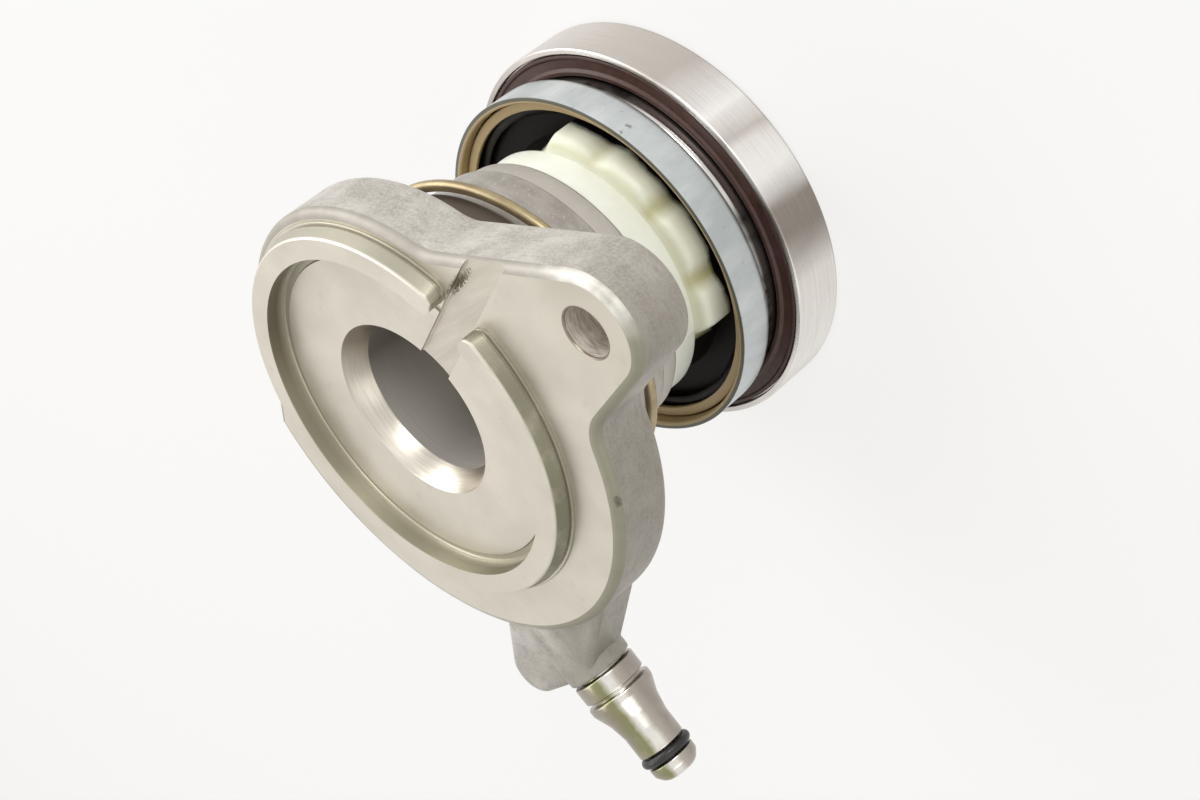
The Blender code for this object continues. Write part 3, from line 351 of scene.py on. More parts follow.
def shot_blasted_casting(tree):
    """Die-cast aluminium, shot blasted: pale matt grain with darker clouds, level rubs and painted shade on
    the shaded side.
    """
    place = object_coordinates(tree)
    grain = add(tree, "noise", place, per(0.45), 3.0, 0.55)
    cloud = add(tree, "noise", place, per(6.0), 5.0, 0.6)
    # Rubs of 0.1 mm run level along the sides, drawn 0.5 mm high so that they show
    rub = add(tree, "noise", object_coordinates(tree, (0.45, 0.45, 2.4)), per(1.3), 4.0, 0.65)
    # The last layer is painted shade towards the shaded side of the flange
    tone = layered(tree, "#A49E95", (cloud, 0.35, 0.65, 1.0, "#C6C1B9"), (rub, 0.54, 0.72, 0.6, "#8E8880"),
                   (grain, 0.42, 0.62, 0.35, "#DAD6CF"),
                   (along(tree, SHADED_SIDE), 22.0 * MM, 40.0 * MM, 0.65, "#7F786C"))
    pit = add(tree, "spread", add(tree, "cells", place, per(6.0)), 0.03, 0.09, 0.0, 1.0)
    normal = add(tree, "bump", grain, 0.05 * MM, 0.6)
    return {"Base Color": tone, "Roughness": add(tree, "spread", rub, 0.3, 0.7, 0.40, 0.56),
            "Normal": add(tree, "bump", pit, 0.10 * MM, 0.8, normal)}


def faced_aluminium(tree):
    """Face-milled aluminium: warm satin, fine rings left by the tool, one gouge and painted shade towards
    the ear.
    """
    place = object_coordinates(tree)
    radius, _, _ = axis_parts(tree)
    cloud = add(tree, "noise", place, per(12.0), 5.0, 0.55)
    stain = add(tree, "noise", place, per(2.6), 5.0, 0.65)
    gouge = lone_mark(tree, GOUGE)
    # The layer along X is painted shade towards the ear
    tone = layered(tree, "#CBC4B7", (cloud, 0.35, 0.65, 1.0, "#D3CDC1"),
                   (stain, 0.60, 0.76, 0.4, "#B4AD9E"),
                   (along(tree, (1.0, 0.0)), 38.0 * MM, 60.0 * MM, 0.45, "#B5AE9F"),
                   (gouge, 0.0, 1.0, 1.0, "#6B664E"))
    # The tool's rings of 0.1 mm are drawn 0.35 mm apart, so that they show
    normal = add(tree, "bump", lines_every(tree, radius, 0.35 * MM), 0.0012 * MM, 0.7)
    normal = add(tree, "bump", gouge, -0.25 * MM, 0.8, normal)
    fine = add(tree, "noise", place, per(0.3), 2.0, 0.55)
    return {"Base Color": tone, "Roughness": add(tree, "spread", cloud, 0.3, 0.7, 0.30, 0.40),
            "Normal": add(tree, "bump", fine, 0.006 * MM, 0.5, normal)}


def lit_and_shaded_edge(tree):
    """Rounded front edge of the flange: satin, painted olive shade on the shaded side, painted shade on the
    +Y side, a painted highlight at the ear's end, a stain and a nick.
    """
    cloud = add(tree, "noise", object_coordinates(tree), per(4.0), 4.0, 0.55)
    # Painted highlight towards the ear's end, broken up by clouds
    ear_end_highlight = add(tree, "times", add(tree, "spread", along(tree, (0.8, 0.6)), 50.0 * MM, 56.0 * MM, 0.0, 1.0),
               add(tree, "spread", cloud, 0.35, 0.6, 0.4, 1.0))
    # Painted olive shade on the shaded side and painted shade on the +Y side; the stain and the nick are
    # real marks
    tone = layered(tree, "#ABA69C", (cloud, 0.35, 0.65, 1.0, "#C2BDB4"),
                   (along(tree, SHADED_SIDE), 22.0 * MM, 36.0 * MM, 0.85, "#8C8873"),
                   (along(tree, (-0.25, 0.97)), -7.0 * MM, -1.0 * MM, 0.6, "#908A80"),
                   (ear_end_highlight, 0.0, 1.0, 1.0, "#E6E3DC"), (lone_mark(tree, STAIN), 0.0, 1.0, 0.6, "#8A6E4A"),
                   (lone_mark(tree, NICK), 0.0, 1.0, 1.0, "#3F3C32"))
    return {"Base Color": tone, "Normal": grained(tree, 0.5, 0.02 * MM, 0.5)}


def drilled_aluminium(tree):
    """Drilled bolt hole: brownish grey, with the drill's spiral streaks."""
    streak = add(tree, "noise", object_coordinates(tree, (1.0, 1.0, 5.0)), per(2.0), 5.0, 0.6)
    return {"Base Color": layered(tree, "#ACA396", (streak, 0.35, 0.65, 1.0, "#DAD3C8")),
            "Normal": add(tree, "bump", streak, 0.03 * MM, 0.6)}


def shaded_bevel(tree):
    """Turned sides of the spigot ring: fine cross marks outside, an olive tone as painted shade, deepest
    towards the shaded side, a painted highlight along the crest, and on the inner wall painted shade at its
    foot and a painted highlight on the lit side.
    """
    radius, height, angle = axis_parts(tree)
    # Painted olive shade, deepest towards the shaded side
    bevel_shade = layered(tree, "#A6A192", (along(tree, SHADED_SIDE), -10.0 * MM, 28.0 * MM, 1.0, "#77745F"))
    # Inner wall: painted shade towards its foot and a painted highlight on the lit side
    wall = layered(tree, "#A9A493", (height, FACE + 0.3 * MM, FACE + 1.5 * MM, 1.0, "#716D5A"),
                   (along(tree, BORE_LIGHT), 12.0 * MM, 29.0 * MM, 0.45, "#B9B4A2"))
    # Chatter marks of 0.2 mm run across the bevel, drawn 0.35 mm apart so that they show
    chatter = lines_every(tree, angle, 0.35 * MM / SPIGOT_FOOT)
    cloud = add(tree, "noise", object_coordinates(tree), per(5.0), 4.0, 0.55)
    # Painted highlight along the crest; the chatter, the clouds and the gouge are real marks
    tone = layered(tree, "#9A9683", (height, FACE + 0.25 * MM, FACE + 0.9 * MM, 1.0, bevel_shade),
                   (height, SPIGOT_TOP - 0.5 * MM, SPIGOT_TOP - 0.15 * MM, 1.0, "#D6D1C4"),
                   (chatter, 0.0, 1.0, 0.12, "#E2DED2"), (cloud, 0.5, 0.75, 0.5, "#B4AF9E"),
                   (radius, SPIGOT_INNER + 0.4 * MM, SPIGOT_INNER + 0.1 * MM, 1.0, wall),
                   (lone_mark(tree, GOUGE), 0.0, 1.0, 1.0, "#676149"))
    return {"Base Color": tone, "Normal": add(tree, "bump", chatter, 0.0025 * MM, 0.5)}


def turned_cone(tree):
    """Turned lead-in cone of the bore: a painted highlight on its lit side and painted shade elsewhere,
    with lathe lines round it.
    """
    _, height, _ = axis_parts(tree)
    streak = add(tree, "noise", object_coordinates(tree, (0.3, 0.3, 6.0)), per(2.0), 4.0, 0.5)
    bright = layered(tree, "#C6C0B3", (streak, 0.35, 0.65, 1.0, "#D8D2C7"))
    # Painted highlight on the lit side over painted shade
    tone = layered(tree, "#8A8175", (along(tree, BORE_LIGHT), 2.0 * MM, 14.5 * MM, 1.0, bright))
    # Lathe lines of 0.1 mm are drawn 0.3 mm apart, so that they show
    lathe = lines_every(tree, height, 0.3 * MM)
    return {"Base Color": tone, "Normal": add(tree, "bump", lathe, 0.0008 * MM, 0.6)}


def milled_channel(tree):
    """End-milled channel floor: the face's tone, faint marks along the cutter's path and a gouge."""
    place = object_coordinates(tree, (0.10, 1.0, 1.0), -DRAIN_ANGLE)
    marks = add(tree, "noise", place, per(1.1), 4.0, 0.55)
    gouge = lone_mark(tree, GOUGE)
    tone = layered(tree, "#BFB8AB", (marks, 0.34, 0.66, 1.0, "#CBC4B7"), (gouge, 0.0, 1.0, 1.0, "#6B664E"))
    normal = add(tree, "bump", marks, 0.008 * MM, 0.5)
    return {"Base Color": tone, "Normal": add(tree, "bump", gouge, -0.25 * MM, 0.8, normal)}


def turned_barrel(tree):
    """Turned outside of the cylinder: greyer, with lathe lines round it and painted shade at its root under
    the flange.
    """
    _, height, _ = axis_parts(tree)
    cloud = add(tree, "noise", object_coordinates(tree, (1.0, 1.0, 2.0)), per(5.0), 5.0, 0.6)
    dust = add(tree, "noise", object_coordinates(tree), per(0.6), 3.0, 0.6)
    # The last layer is painted shade at the root, from the wire ring up to the flange
    tone = layered(tree, "#9F9992", (cloud, 0.35, 0.65, 1.0, "#B4AEA6"),
                   (height, BAND_TOP, BAND_TOP - 0.2 * MM, 0.65, "#D3CEC6"),
                   (dust, 0.60, 0.72, 0.5, "#DAD6CF"),
                   (height, WIRE_HEIGHT - 1.0 * MM, WIRE_HEIGHT + 2.5 * MM, 1.0, "#625850"))
    # Lathe lines of 0.1 mm are drawn 0.4 mm apart, so that they show
    normal = add(tree, "bump", lines_every(tree, height, 0.4 * MM), 0.002 * MM, 0.8)
    return {"Base Color": tone, "Normal": grained(tree, 0.4, 0.02 * MM, 0.5, normal)}


def bored_steel(tree):
    """Honed steel bore of the sleeve: dull grey with fine lines round the wall, painted shade on one side
    and a painted highlight on the lit side.
    """
    streak = add(tree, "noise", object_coordinates(tree, (0.15, 0.15, 5.0)), per(2.0), 4.0, 0.5)
    # Painted shade on the +Y side and a painted highlight on the lit side
    tone = layered(tree, "#B9B3AA", (streak, 0.3, 0.7, 1.0, "#CBC6BE"),
                   (along(tree, (-0.35, 0.94)), -1.0 * MM, 13.0 * MM, 0.7, "#6B645C"),
                   (along(tree, BORE_LIGHT), 6.0 * MM, 14.2 * MM, 0.7, "#E4E0D9"))
    return {"Base Color": tone, "Normal": add(tree, "bump", streak, 0.01 * MM, 0.3)}


def plated_nipple(tree):
    """Zinc-nickel plate over a turned nipple: a painted highlight along its ridge, painted shade on its
    sides and a painted olive reflection between them.
    """
    place = object_coordinates(tree)
    cloud = add(tree, "noise", place, per(4.0), 4.0, 0.55)
    across = Vector((-NIPPLE_DIRECTION.y, NIPPLE_DIRECTION.x, 0.0)) * 0.52 - Vector((0.0, 0.0, 0.85))
    reach = add(tree, "plus", add(tree, "dot", place, across), -across.dot(NIPPLE_BASE))
    share = add(tree, "plus", add(tree, "spread", reach, -5.0 * MM, 5.0 * MM, 0.0, 1.0),
                add(tree, "spread", cloud, 0.3, 0.7, -0.03, 0.03))
    # The ramp paints the highlight, shade and olive reflection across the nipple
    tone = layered(tree, add(tree, "ramp", share, NIPPLE_PAINTED_LIGHT), (cloud, 0.45, 0.7, 0.3, "#B9B3A7"))
    level = NIPPLE_HEADING + 0.5 * math.pi
    lines = add(tree, "noise", object_coordinates(tree, (0.12, 3.0, 0.12), -level), per(1.0), 3.0, 0.55)
    return {"Base Color": tone, "Normal": add(tree, "bump", lines, 0.012 * MM, 0.4)}


def yellow_passivated_wire(tree):
    """Yellow chromate on zinc: brassy, drifting towards green and rose."""
    drift = add(tree, "noise", object_coordinates(tree), per(8.0), 3.0, 0.55)
    return {"Base Color": layered(tree, "#97876A", (drift, 0.35, 0.65, 1.0, "#BBAD88")),
            "Normal": grained(tree, 0.35, 0.02 * MM, 0.4)}


def cream_polyamide(tree):
    """Moulded polyamide: cream and waxy, painted olive shade in the valleys between the pads and in the
    groove under the rim, and black where the cup starts, for old grease and painted shade.
    """
    _, height, angle = axis_parts(tree)
    around = add(tree, "plus", add(tree, "times", angle, 0.5 * LOBE_COUNT), -0.5 * LOBE_COUNT * LOBE_PHASE)
    wave = add(tree, "absolute", add(tree, "cosine", around))
    # Painted olive shade in the valleys between the pads, stronger on the shaded side
    shaded = add(tree, "spread", along(tree, (0.77, -0.64)), -6.0 * MM, 20.0 * MM, 0.15, 1.0)
    valley_shade = add(tree, "times", add(tree, "spread", wave, 0.10, 0.55, 0.85, 0.0), shaded)
    rim_foot = MOUTH - HEAD_RIM_LENGTH
    middle = rim_foot - 0.6 * MM
    # Painted shade in the groove under the rim
    line = add(tree, "times", add(tree, "spread", height, rim_foot - 1.3 * MM, middle, 0.0, 1.0),
               add(tree, "spread", height, middle, rim_foot + 0.1 * MM, 1.0, 0.0))
    # Black where the cup starts and on the bare core between the pad sectors: old grease and painted shade
    cloud = add(tree, "noise", object_coordinates(tree), per(6.0), 3.0, 0.55)
    level = add(tree, "plus", height, add(tree, "spread", cloud, 0.3, 0.7, -0.5 * MM, 0.5 * MM))
    grease_and_shade = add(tree, "spread", level, GREASE_AND_SHADE_TOP - 0.6 * MM, GREASE_AND_SHADE_TOP + 0.5 * MM, 1.0, 0.0)
    twice = add(tree, "plus", add(tree, "times", angle, 2.0), -2.0 * PAD_SECTOR_MIDDLE)
    last = math.cos(2.0 * PAD_SECTOR_HALF)
    bare = add(tree, "spread", add(tree, "cosine", twice), last - 0.10, last, 1.0, 0.0)
    below = add(tree, "spread", height, rim_foot - 0.9 * MM, rim_foot - 0.5 * MM, 1.0, 0.0)
    grease_and_shade = add(tree, "most", grease_and_shade, add(tree, "times", bare, below))
    tone = layered(tree, "#EEEFDC", (valley_shade, 0.0, 1.0, 1.0, "#B4AF78"),
                   (height, rim_foot - 0.7 * MM, rim_foot - 0.1 * MM, 1.0, "#F1F2E5"),
                   (line, 0.0, 1.0, 0.5, "#C9C69E"), (cloud, 0.4, 0.7, 0.25, "#D9D8BE"),
                   (grease_and_shade, 0.0, 1.0, 1.0, "#15120E"))
    return {"Base Color": tone, "Subsurface Weight": add(tree, "spread", grease_and_shade, 0.0, 1.0, 0.35, 0.0),
            "Subsurface Radius": (2.6 * MM, 2.5 * MM, 1.5 * MM), "Subsurface Scale": 1.0,
            "Specular IOR Level": add(tree, "spread", grease_and_shade, 0.0, 1.0, 0.5, 0.08),
            "Normal": grained(tree, 0.5, 0.02 * MM, 0.4)}


def zinc_plated_sheet(tree):
    """Pressed steel with clear zinc plate: cool grey, cloudy, with dark scuffs and a dark cut edge."""
    _, height, _ = axis_parts(tree)
    cut_edge = (height, CUP_RIM - 0.16 * MM, CUP_RIM - 0.06 * MM)
    cloud = add(tree, "noise", object_coordinates(tree, (1.0, 1.0, 0.4)), per(6.0), 5.0, 0.55)
    scuff = add(tree, "noise", object_coordinates(tree), per(1.6), 3.0, 0.6)
    tone = layered(tree, "#B4B9B9", (cloud, 0.35, 0.68, 1.0, "#D2D6D6"),
                   (scuff, 0.68, 0.76, 0.7, "#6E7272"), (*cut_edge, 0.9, "#47442F"))
    return {"Base Color": tone, "Metallic": add(tree, "spread", *cut_edge, 0.8, 0.15),
            "Roughness": add(tree, "spread", cloud, 0.3, 0.7, 0.30, 0.46),
            "Normal": add(tree, "bump", scuff, 0.03 * MM, 0.4)}


def chromated_cup_inside(tree):
    """Inside of the cup and its retaining ring: yellow-brown chromate above, black below for old grease and
    painted shade deep in the cup.
    """
    _, height, _ = axis_parts(tree)
    ragged = add(tree, "noise", object_coordinates(tree), per(4.0), 4.0, 0.55)
    level = add(tree, "plus", height, add(tree, "times", ragged, 1.2 * MM))
    # Black below: old grease and painted shade
    deep = add(tree, "spread", level, CUP_RIM - 2.4 * MM, CUP_RIM - 1.7 * MM, 1.0, 0.0)
    return {"Base Color": layered(tree, "#B39C72", (deep, 0.0, 1.0, 1.0, "#16120E")),
            "Specular IOR Level": add(tree, "spread", deep, 0.0, 1.0, 0.5, 0.08),
            "Normal": grained(tree, 0.8, 0.02 * MM, 0.4)}


def ground_bearing_steel(tree):
    """Ground bearing ring: satin, fine lines round it, painted reflections in light and dark bands round
    it, and a painted dark reflection on the far edge.
    """
    _, height, angle = axis_parts(tree)
    wander = add(tree, "noise", object_coordinates(tree, (1.0, 1.0, 0.3)), per(9.0), 2.0, 0.4)
    share = add(tree, "plus", add(tree, "spread", angle, -math.pi, math.pi, 0.0, 1.0),
                add(tree, "spread", wander, 0.3, 0.7, -0.008, 0.008))
    reflection_bars = add(tree, "ramp", share, [((degrees + 180.0) / 360.0, tone) for degrees, tone in BEARING_PAINTED_REFLECTIONS])
    lines = add(tree, "noise", object_coordinates(tree, (0.10, 0.10, 6.0)), per(1.2), 4.0, 0.6)
    # Painted reflections in bands round the ring, and a painted dark reflection on the far edge by the
    # contact face
    tone = layered(tree, reflection_bars, (lines, 0.4, 0.7, 0.30, "#B3ABA3"),
                   (height, CONTACT_FACE + 0.85 * MM, CONTACT_FACE + 0.15 * MM, 0.8, "#5B544E"))
    return {"Base Color": tone, "Roughness": add(tree, "spread", wander, 0.38, 0.62, 0.34, 0.24),
            "Normal": add(tree, "bump", lines, 0.012 * MM, 0.5)}


def lapped_shoulder(tree):
    """Lapped shoulder of the still ring: dark old grease and painted shade over most of it and at both
    edges, mirror bright with a painted highlight on one side.
    """
    _, height, _ = axis_parts(tree)
    # Painted shade at both edges and over most of the shoulder, and a painted highlight on one side, broken
    # up by patches
    low_edge = add(tree, "spread", height, REAR_SEAL_TOP - 0.2 * MM, REAR_SEAL_TOP + 0.5 * MM, 1.0, 0.0)
    high_edge = add(tree, "spread", height, INNER_RING_TOP - 0.25 * MM, INNER_RING_TOP, 0.0, 1.0)
    shoulder_highlight = add(tree, "spread", along(tree, (0.956, 0.292)), 28.2 * MM, 30.0 * MM, 1.0, 0.15)
    patch = add(tree, "noise", object_coordinates(tree), per(5.0), 3.0, 0.55)
    patch = add(tree, "spread", patch, 0.45, 0.6, 0.75, 1.0)
    grease_and_shade = add(tree, "most", add(tree, "most", low_edge, high_edge), add(tree, "times", shoulder_highlight, patch))
    return {"Base Color": layered(tree, "#E2DED9", (grease_and_shade, 0.0, 1.0, 1.0, "#4A433E")),
            "Roughness": add(tree, "spread", grease_and_shade, 0.0, 1.0, 0.13, 0.38),
            "Normal": grained(tree, 1.0, 0.004 * MM, 0.5)}


def polished_steel(tree):
    """Polished steel of the balls."""
    return {"Normal": grained(tree, 1.5, 0.004 * MM, 0.4)}


def brown_nitrile(tree):
    """Brown nitrile rubber: dull red-brown, slightly dusty on its raised bead."""
    dust = add(tree, "noise", object_coordinates(tree), per(2.4), 5.0, 0.65)
    return {"Base Color": layered(tree, "#3D241C", (dust, 0.40, 0.72, 0.5, "#5E3E34")),
            "Normal": grained(tree, 0.35, 0.03 * MM, 0.5)}


def black_nitrile(tree):
    """Black nitrile rubber of the O-rings and the piston seal: a dull sheen."""
    sheen = add(tree, "noise", object_coordinates(tree), per(1.2), 4.0, 0.55)
    return {"Roughness": add(tree, "spread", sheen, 0.35, 0.65, 0.28, 0.5),
            "Normal": grained(tree, 0.25, 0.02 * MM, 0.5)}


def spring_steel_oil_and_shade(tree):
    """Rolled spring strip under dark old oil: near black, also standing for the painted shade deep in the
    cup.
    """
    cloud = add(tree, "noise", object_coordinates(tree), per(3.0), 4.0, 0.55)
    return {"Base Color": layered(tree, "#171410", (cloud, 0.35, 0.7, 1.0, "#2C2721")),
            "Specular IOR Level": 0.12}


def glass_filled_cage(tree):
    """Moulded glass-filled polyamide of the ball cage: amber brown with paler flecks."""
    fleck = add(tree, "noise", object_coordinates(tree), per(0.6), 3.0, 0.55)
    return {"Base Color": layered(tree, "#7A5B39", (fleck, 0.4, 0.65, 1.0, "#977650"))}


# Name, base colour, metallic, roughness and pattern of each finish
FINISHES = {
    "cast": ("shot_blasted_aluminium_casting", "#C6C1B9", 0.5, 0.46, shot_blasted_casting),
    "faced": ("faced_aluminium", "#CFC8BB", 0.82, 0.34, faced_aluminium),
    "edge": ("flange_edge_painted_light", "#CBC6BA", 0.45, 0.55, lit_and_shaded_edge),
    "hole": ("drilled_aluminium", "#B7AFA3", 0.4, 0.45, drilled_aluminium),
    "bevel": ("turned_bevel_painted_shade", "#8C8874", 0.7, 0.46, shaded_bevel),
    "cone": ("turned_aluminium_cone", "#CCC6BA", 0.9, 0.33, turned_cone),
    "channel": ("milled_channel", "#C9C2B5", 0.82, 0.36, milled_channel),
    "barrel": ("turned_aluminium_barrel", "#B4AFA8", 0.8, 0.42, turned_barrel),
    "bore": ("honed_steel_bore", "#BFB9B0", 0.5, 0.40, bored_steel),
    "nipple": ("plated_turned_steel", "#CFCBC0", 0.9, 0.24, plated_nipple),
    "wire": ("yellow_passivated_wire", "#AFA07C", 0.85, 0.38, yellow_passivated_wire),
    "cream": ("cream_polyamide", "#E2E3D2", 0.0, 0.42, cream_polyamide),
    "zinc": ("zinc_plated_pressed_steel", "#C0C3C2", 0.8, 0.38, zinc_plated_sheet),
    "chromate": ("chromated_cup_inside", "#9A8560", 0.2, 0.45, chromated_cup_inside),
    "ground": ("ground_bearing_steel", "#C6BEB5", 0.92, 0.27, ground_bearing_steel),
    "lapped": ("lapped_bearing_shoulder", "#D8D4CE", 1.0, 0.14, lapped_shoulder),
    "ball": ("polished_ball_steel", "#CBC7C0", 1.0, 0.12, polished_steel),
    "brown": ("brown_nitrile_rubber", "#44281F", 0.0, 0.5, brown_nitrile),
    "black": ("black_nitrile_rubber", "#1D1C1B", 0.0, 0.38, black_nitrile),
    "spring": ("spring_steel_oil_and_shade", "#1E1B17", 0.0, 0.35, spring_steel_oil_and_shade),
    "cage": ("glass_filled_polyamide", "#8A6A45", 0.0, 0.5, glass_filled_cage),
}


def make_material(name, hex_colour, metallic, roughness, pattern=None):
    """Material with a Principled shader, whose varying inputs come from the pattern."""
    material = bpy.data.materials.new(name)
    material.use_nodes = True
    tree = material.node_tree
    shader = tree.nodes["Principled BSDF"]
    fill(tree, shader, {"Base Color": hex_colour, "Metallic": metallic, "Roughness": roughness})
    if pattern is not None:
        fill(tree, shader, pattern(tree))
    return material


# Mesh helpers

def shown(name, data):
    """New object in the scene."""
    made = bpy.data.objects.new(name, data)
    bpy.context.scene.collection.objects.link(made)
    return made


def finish_mesh(name, builder, *materials):
    """Make a closed bmesh a smooth, outward-facing object."""
    bmesh.ops.recalc_face_normals(builder, faces=builder.faces)
    if builder.calc_volume(signed=True) < 0.0:
        bmesh.ops.reverse_faces(builder, faces=builder.faces)
    mesh = bpy.data.meshes.new(name)
    builder.to_mesh(mesh)
    builder.free()
    for material in materials:
        mesh.materials.append(material)
    mesh.shade_smooth()
    mesh.set_sharp_from_angle(angle=SHARP_ANGLE)
    return shown(name, mesh)


def paint(made, chosen):
    """Give each face the finish whose number chosen(middle, normal) names."""
    for polygon in made.data.polygons:
        polygon.material_index = int(chosen(polygon.center, polygon.normal))
    return made


def skin(loops, closed):
    """Surface through loops of equally many points; closed joins the last loop to the first."""
    builder = bmesh.new()
    rows = [[builder.verts.new(point) for point in loop] for loop in loops]
    count = len(rows[0])
    pairs = list(zip(rows, rows[1:]))
    if closed:
        pairs.append((rows[-1], rows[0]))
    for low, high in pairs:
        for i in range(count):
            j = (i + 1) % count
            builder.faces.new((low[i], low[j], high[j], high[i]))
    if not closed:
        builder.faces.new(rows[0])
        builder.faces.new(rows[-1])
    return builder


def circle(radius, height, segments):
    """Points of a level circle about the Z axis."""
    turns = [FULL_TURN * i / segments for i in range(segments)]
    return [Vector((radius * math.cos(a), radius * math.sin(a), height)) for a in turns]


def turned(profile, segments=ROUND, closed=True):
    """Turn (radius, height) points about Z."""
    return skin([circle(point[0], point[1], segments) for point in profile], closed)


def softened(corners, closed=True, steps=4):
    """Round the corners of (radius, height, fillet) points into a finer profile."""
    made = []
    count = len(corners)
    for i, (r, z, fillet) in enumerate(corners):
        here = Vector((r, z))
        if fillet <= 0.0 or (not closed and i in (0, count - 1)):
            made.append((r, z))
            continue
        before = Vector(corners[i - 1][:2]) - here
        after = Vector(corners[(i + 1) % count][:2]) - here
        reach = min(fillet / math.tan(0.5 * before.angle(after)), 0.49 * min(before.length, after.length))
        start = here + before.normalized() * reach
        end = here + after.normalized() * reach
        for step in range(steps + 1):
            share = step / steps
            bend = (1 - share) ** 2 * start + 2 * share * (1 - share) * here + share ** 2 * end
            made.append((bend.x, bend.y))
    return made


def arc(centre, radius, start, end, steps=None):
    """(u, v) points along an arc, both ends included; without steps, facets span about ARC_STEP."""
    if steps is None:
        steps = max(3, round(abs(end - start) / ARC_STEP))
    angles = [start + (end - start) * i / steps for i in range(steps + 1)]
    return [(centre[0] + radius * math.cos(a), centre[1] + radius * math.sin(a)) for a in angles]


def polar(radius, angle):
    """(x, y) at a radius and an angle."""
    return (radius * math.cos(angle), radius * math.sin(angle))


def inset(outline, distance):
    """Move each point of an anticlockwise outline inwards along its corner's bisector."""
    moved = []
    for i, point in enumerate(outline):
        before = Vector(outline[i - 1])
        here = Vector(point)
        after = Vector(outline[(i + 1) % len(outline)])
        way = ((here - before).normalized() + (after - here).normalized()).normalized()
        moved.append((here.x - way.y * distance, here.y + way.x * distance))
    return moved


def rounded_plate(outline, bottom, top, bottom_fillet, top_fillet, strip=0.25 * MM, steps=6):
    """Extrude an outline with a quarter-round along each edge and a level strip inside it."""
    quarter = [0.5 * math.pi * i / steps for i in range(steps + 1)]
    levels = [(bottom_fillet + strip, bottom)]
    levels += [(bottom_fillet * (1.0 - math.sin(a)), bottom + bottom_fillet * (1.0 - math.cos(a)))
               for a in quarter]
    levels += [(top_fillet * (1.0 - math.cos(a)), top - top_fillet * (1.0 - math.sin(a))) for a in quarter]
    levels.append((top_fillet + strip, top))
    loops = [[Vector((x, y, height)) for x, y in inset(outline, distance)] for distance, height in levels]
    return skin(loops, closed=False)


def on_nipple(builder, distance=0.0):
    """Lay a form's Z axis along the nipple's axis, with its zero at a distance along it."""
    turn = NIPPLE_DIRECTION.to_track_quat('Z', 'X').to_matrix().to_4x4()
    builder.transform(Matrix.Translation(NIPPLE_BASE + NIPPLE_DIRECTION * distance) @ turn)
    return builder


def as_piece(made, body, slot, *nodes):
    """Let a finished piece ride on its body and stand for its nodes."""
    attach(made, body)
    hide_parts(*nodes)
    return made


def settle(made):
    """Turn an object's modifiers into a plain mesh."""
    graph = bpy.context.evaluated_depsgraph_get()
    mesh = bpy.data.meshes.new_from_object(made.evaluated_get(graph))
    made.modifiers.clear()
    made.data = mesh
    return made


# Casting

def flank(normal_angle, body_radius, fillet, side):
    """Points from the ear towards a round body, and the angle where the body's arc starts."""
    normal = Vector((math.cos(normal_angle), math.sin(normal_angle)))
    away = Vector((-normal.y, normal.x)) * side
    offset = EAR_REACH * normal.x + EAR_RADIUS + fillet
    run = -math.sqrt((body_radius + fillet) ** 2 - offset ** 2)
    centre = normal * offset + away * run
    start = math.atan2(-normal.y, -normal.x)
    end = math.atan2(-centre.y, -centre.x)
    turn = (end - start + math.pi) % FULL_TURN - math.pi
    return arc(centre, fillet, start, start + turn), math.atan2(centre.y, centre.x)


def flange_outline():
    """Anticlockwise plan of the flange: bolt ear, waist, side step and large round."""
    waist_flank, waist_start = flank(WAIST_FLANK, WAIST_RADIUS, WAIST_FLANK_FILLET, 1)
    lower_flank, round_end = flank(LOWER_FLANK, FLANGE_RADIUS, LOWER_FLANK_FILLET, -1)
    waist_end, step_corner, round_start = STEP_ANGLES
    points = arc((EAR_REACH, 0.0), EAR_RADIUS, LOWER_FLANK, WAIST_FLANK)
    points += waist_flank[:-1]
    points += arc((0.0, 0.0), WAIST_RADIUS, waist_start, waist_end)
    points.append(polar(STEP_RADIUS, step_corner))
    points += arc((0.0, 0.0), FLANGE_RADIUS, round_start, round_end + FULL_TURN)
    return points + lower_flank[-2::-1]


def cylinder_form():
    """Outside of the cylinder from its mouth to the fillet under the flange."""
    shoulder_bottom = FLANGE_BACK - SHOULDER_LENGTH
    return turned(softened([
        (CYLINDER_BORE - 2.0 * MM, MOUTH, 0.0), (BAND_RADIUS, MOUTH, 0.6 * MM),
        (BAND_RADIUS, BAND_TOP, 0.1 * MM), (CYLINDER_RADIUS, BAND_TOP, 0.35 * MM),
        (CYLINDER_RADIUS, shoulder_bottom, 0.4 * MM),
        (SHOULDER_RADIUS, shoulder_bottom + 1.4 * MM, 0.6 * MM),
        (SHOULDER_RADIUS, FLANGE_BACK, 2.2 * MM), (SHOULDER_RADIUS + 6.0 * MM, FLANGE_BACK, 0.0),
        (SHOULDER_RADIUS + 6.0 * MM, FLANGE_BACK + 3.0 * MM, 0.0),
    ], closed=False), closed=False)


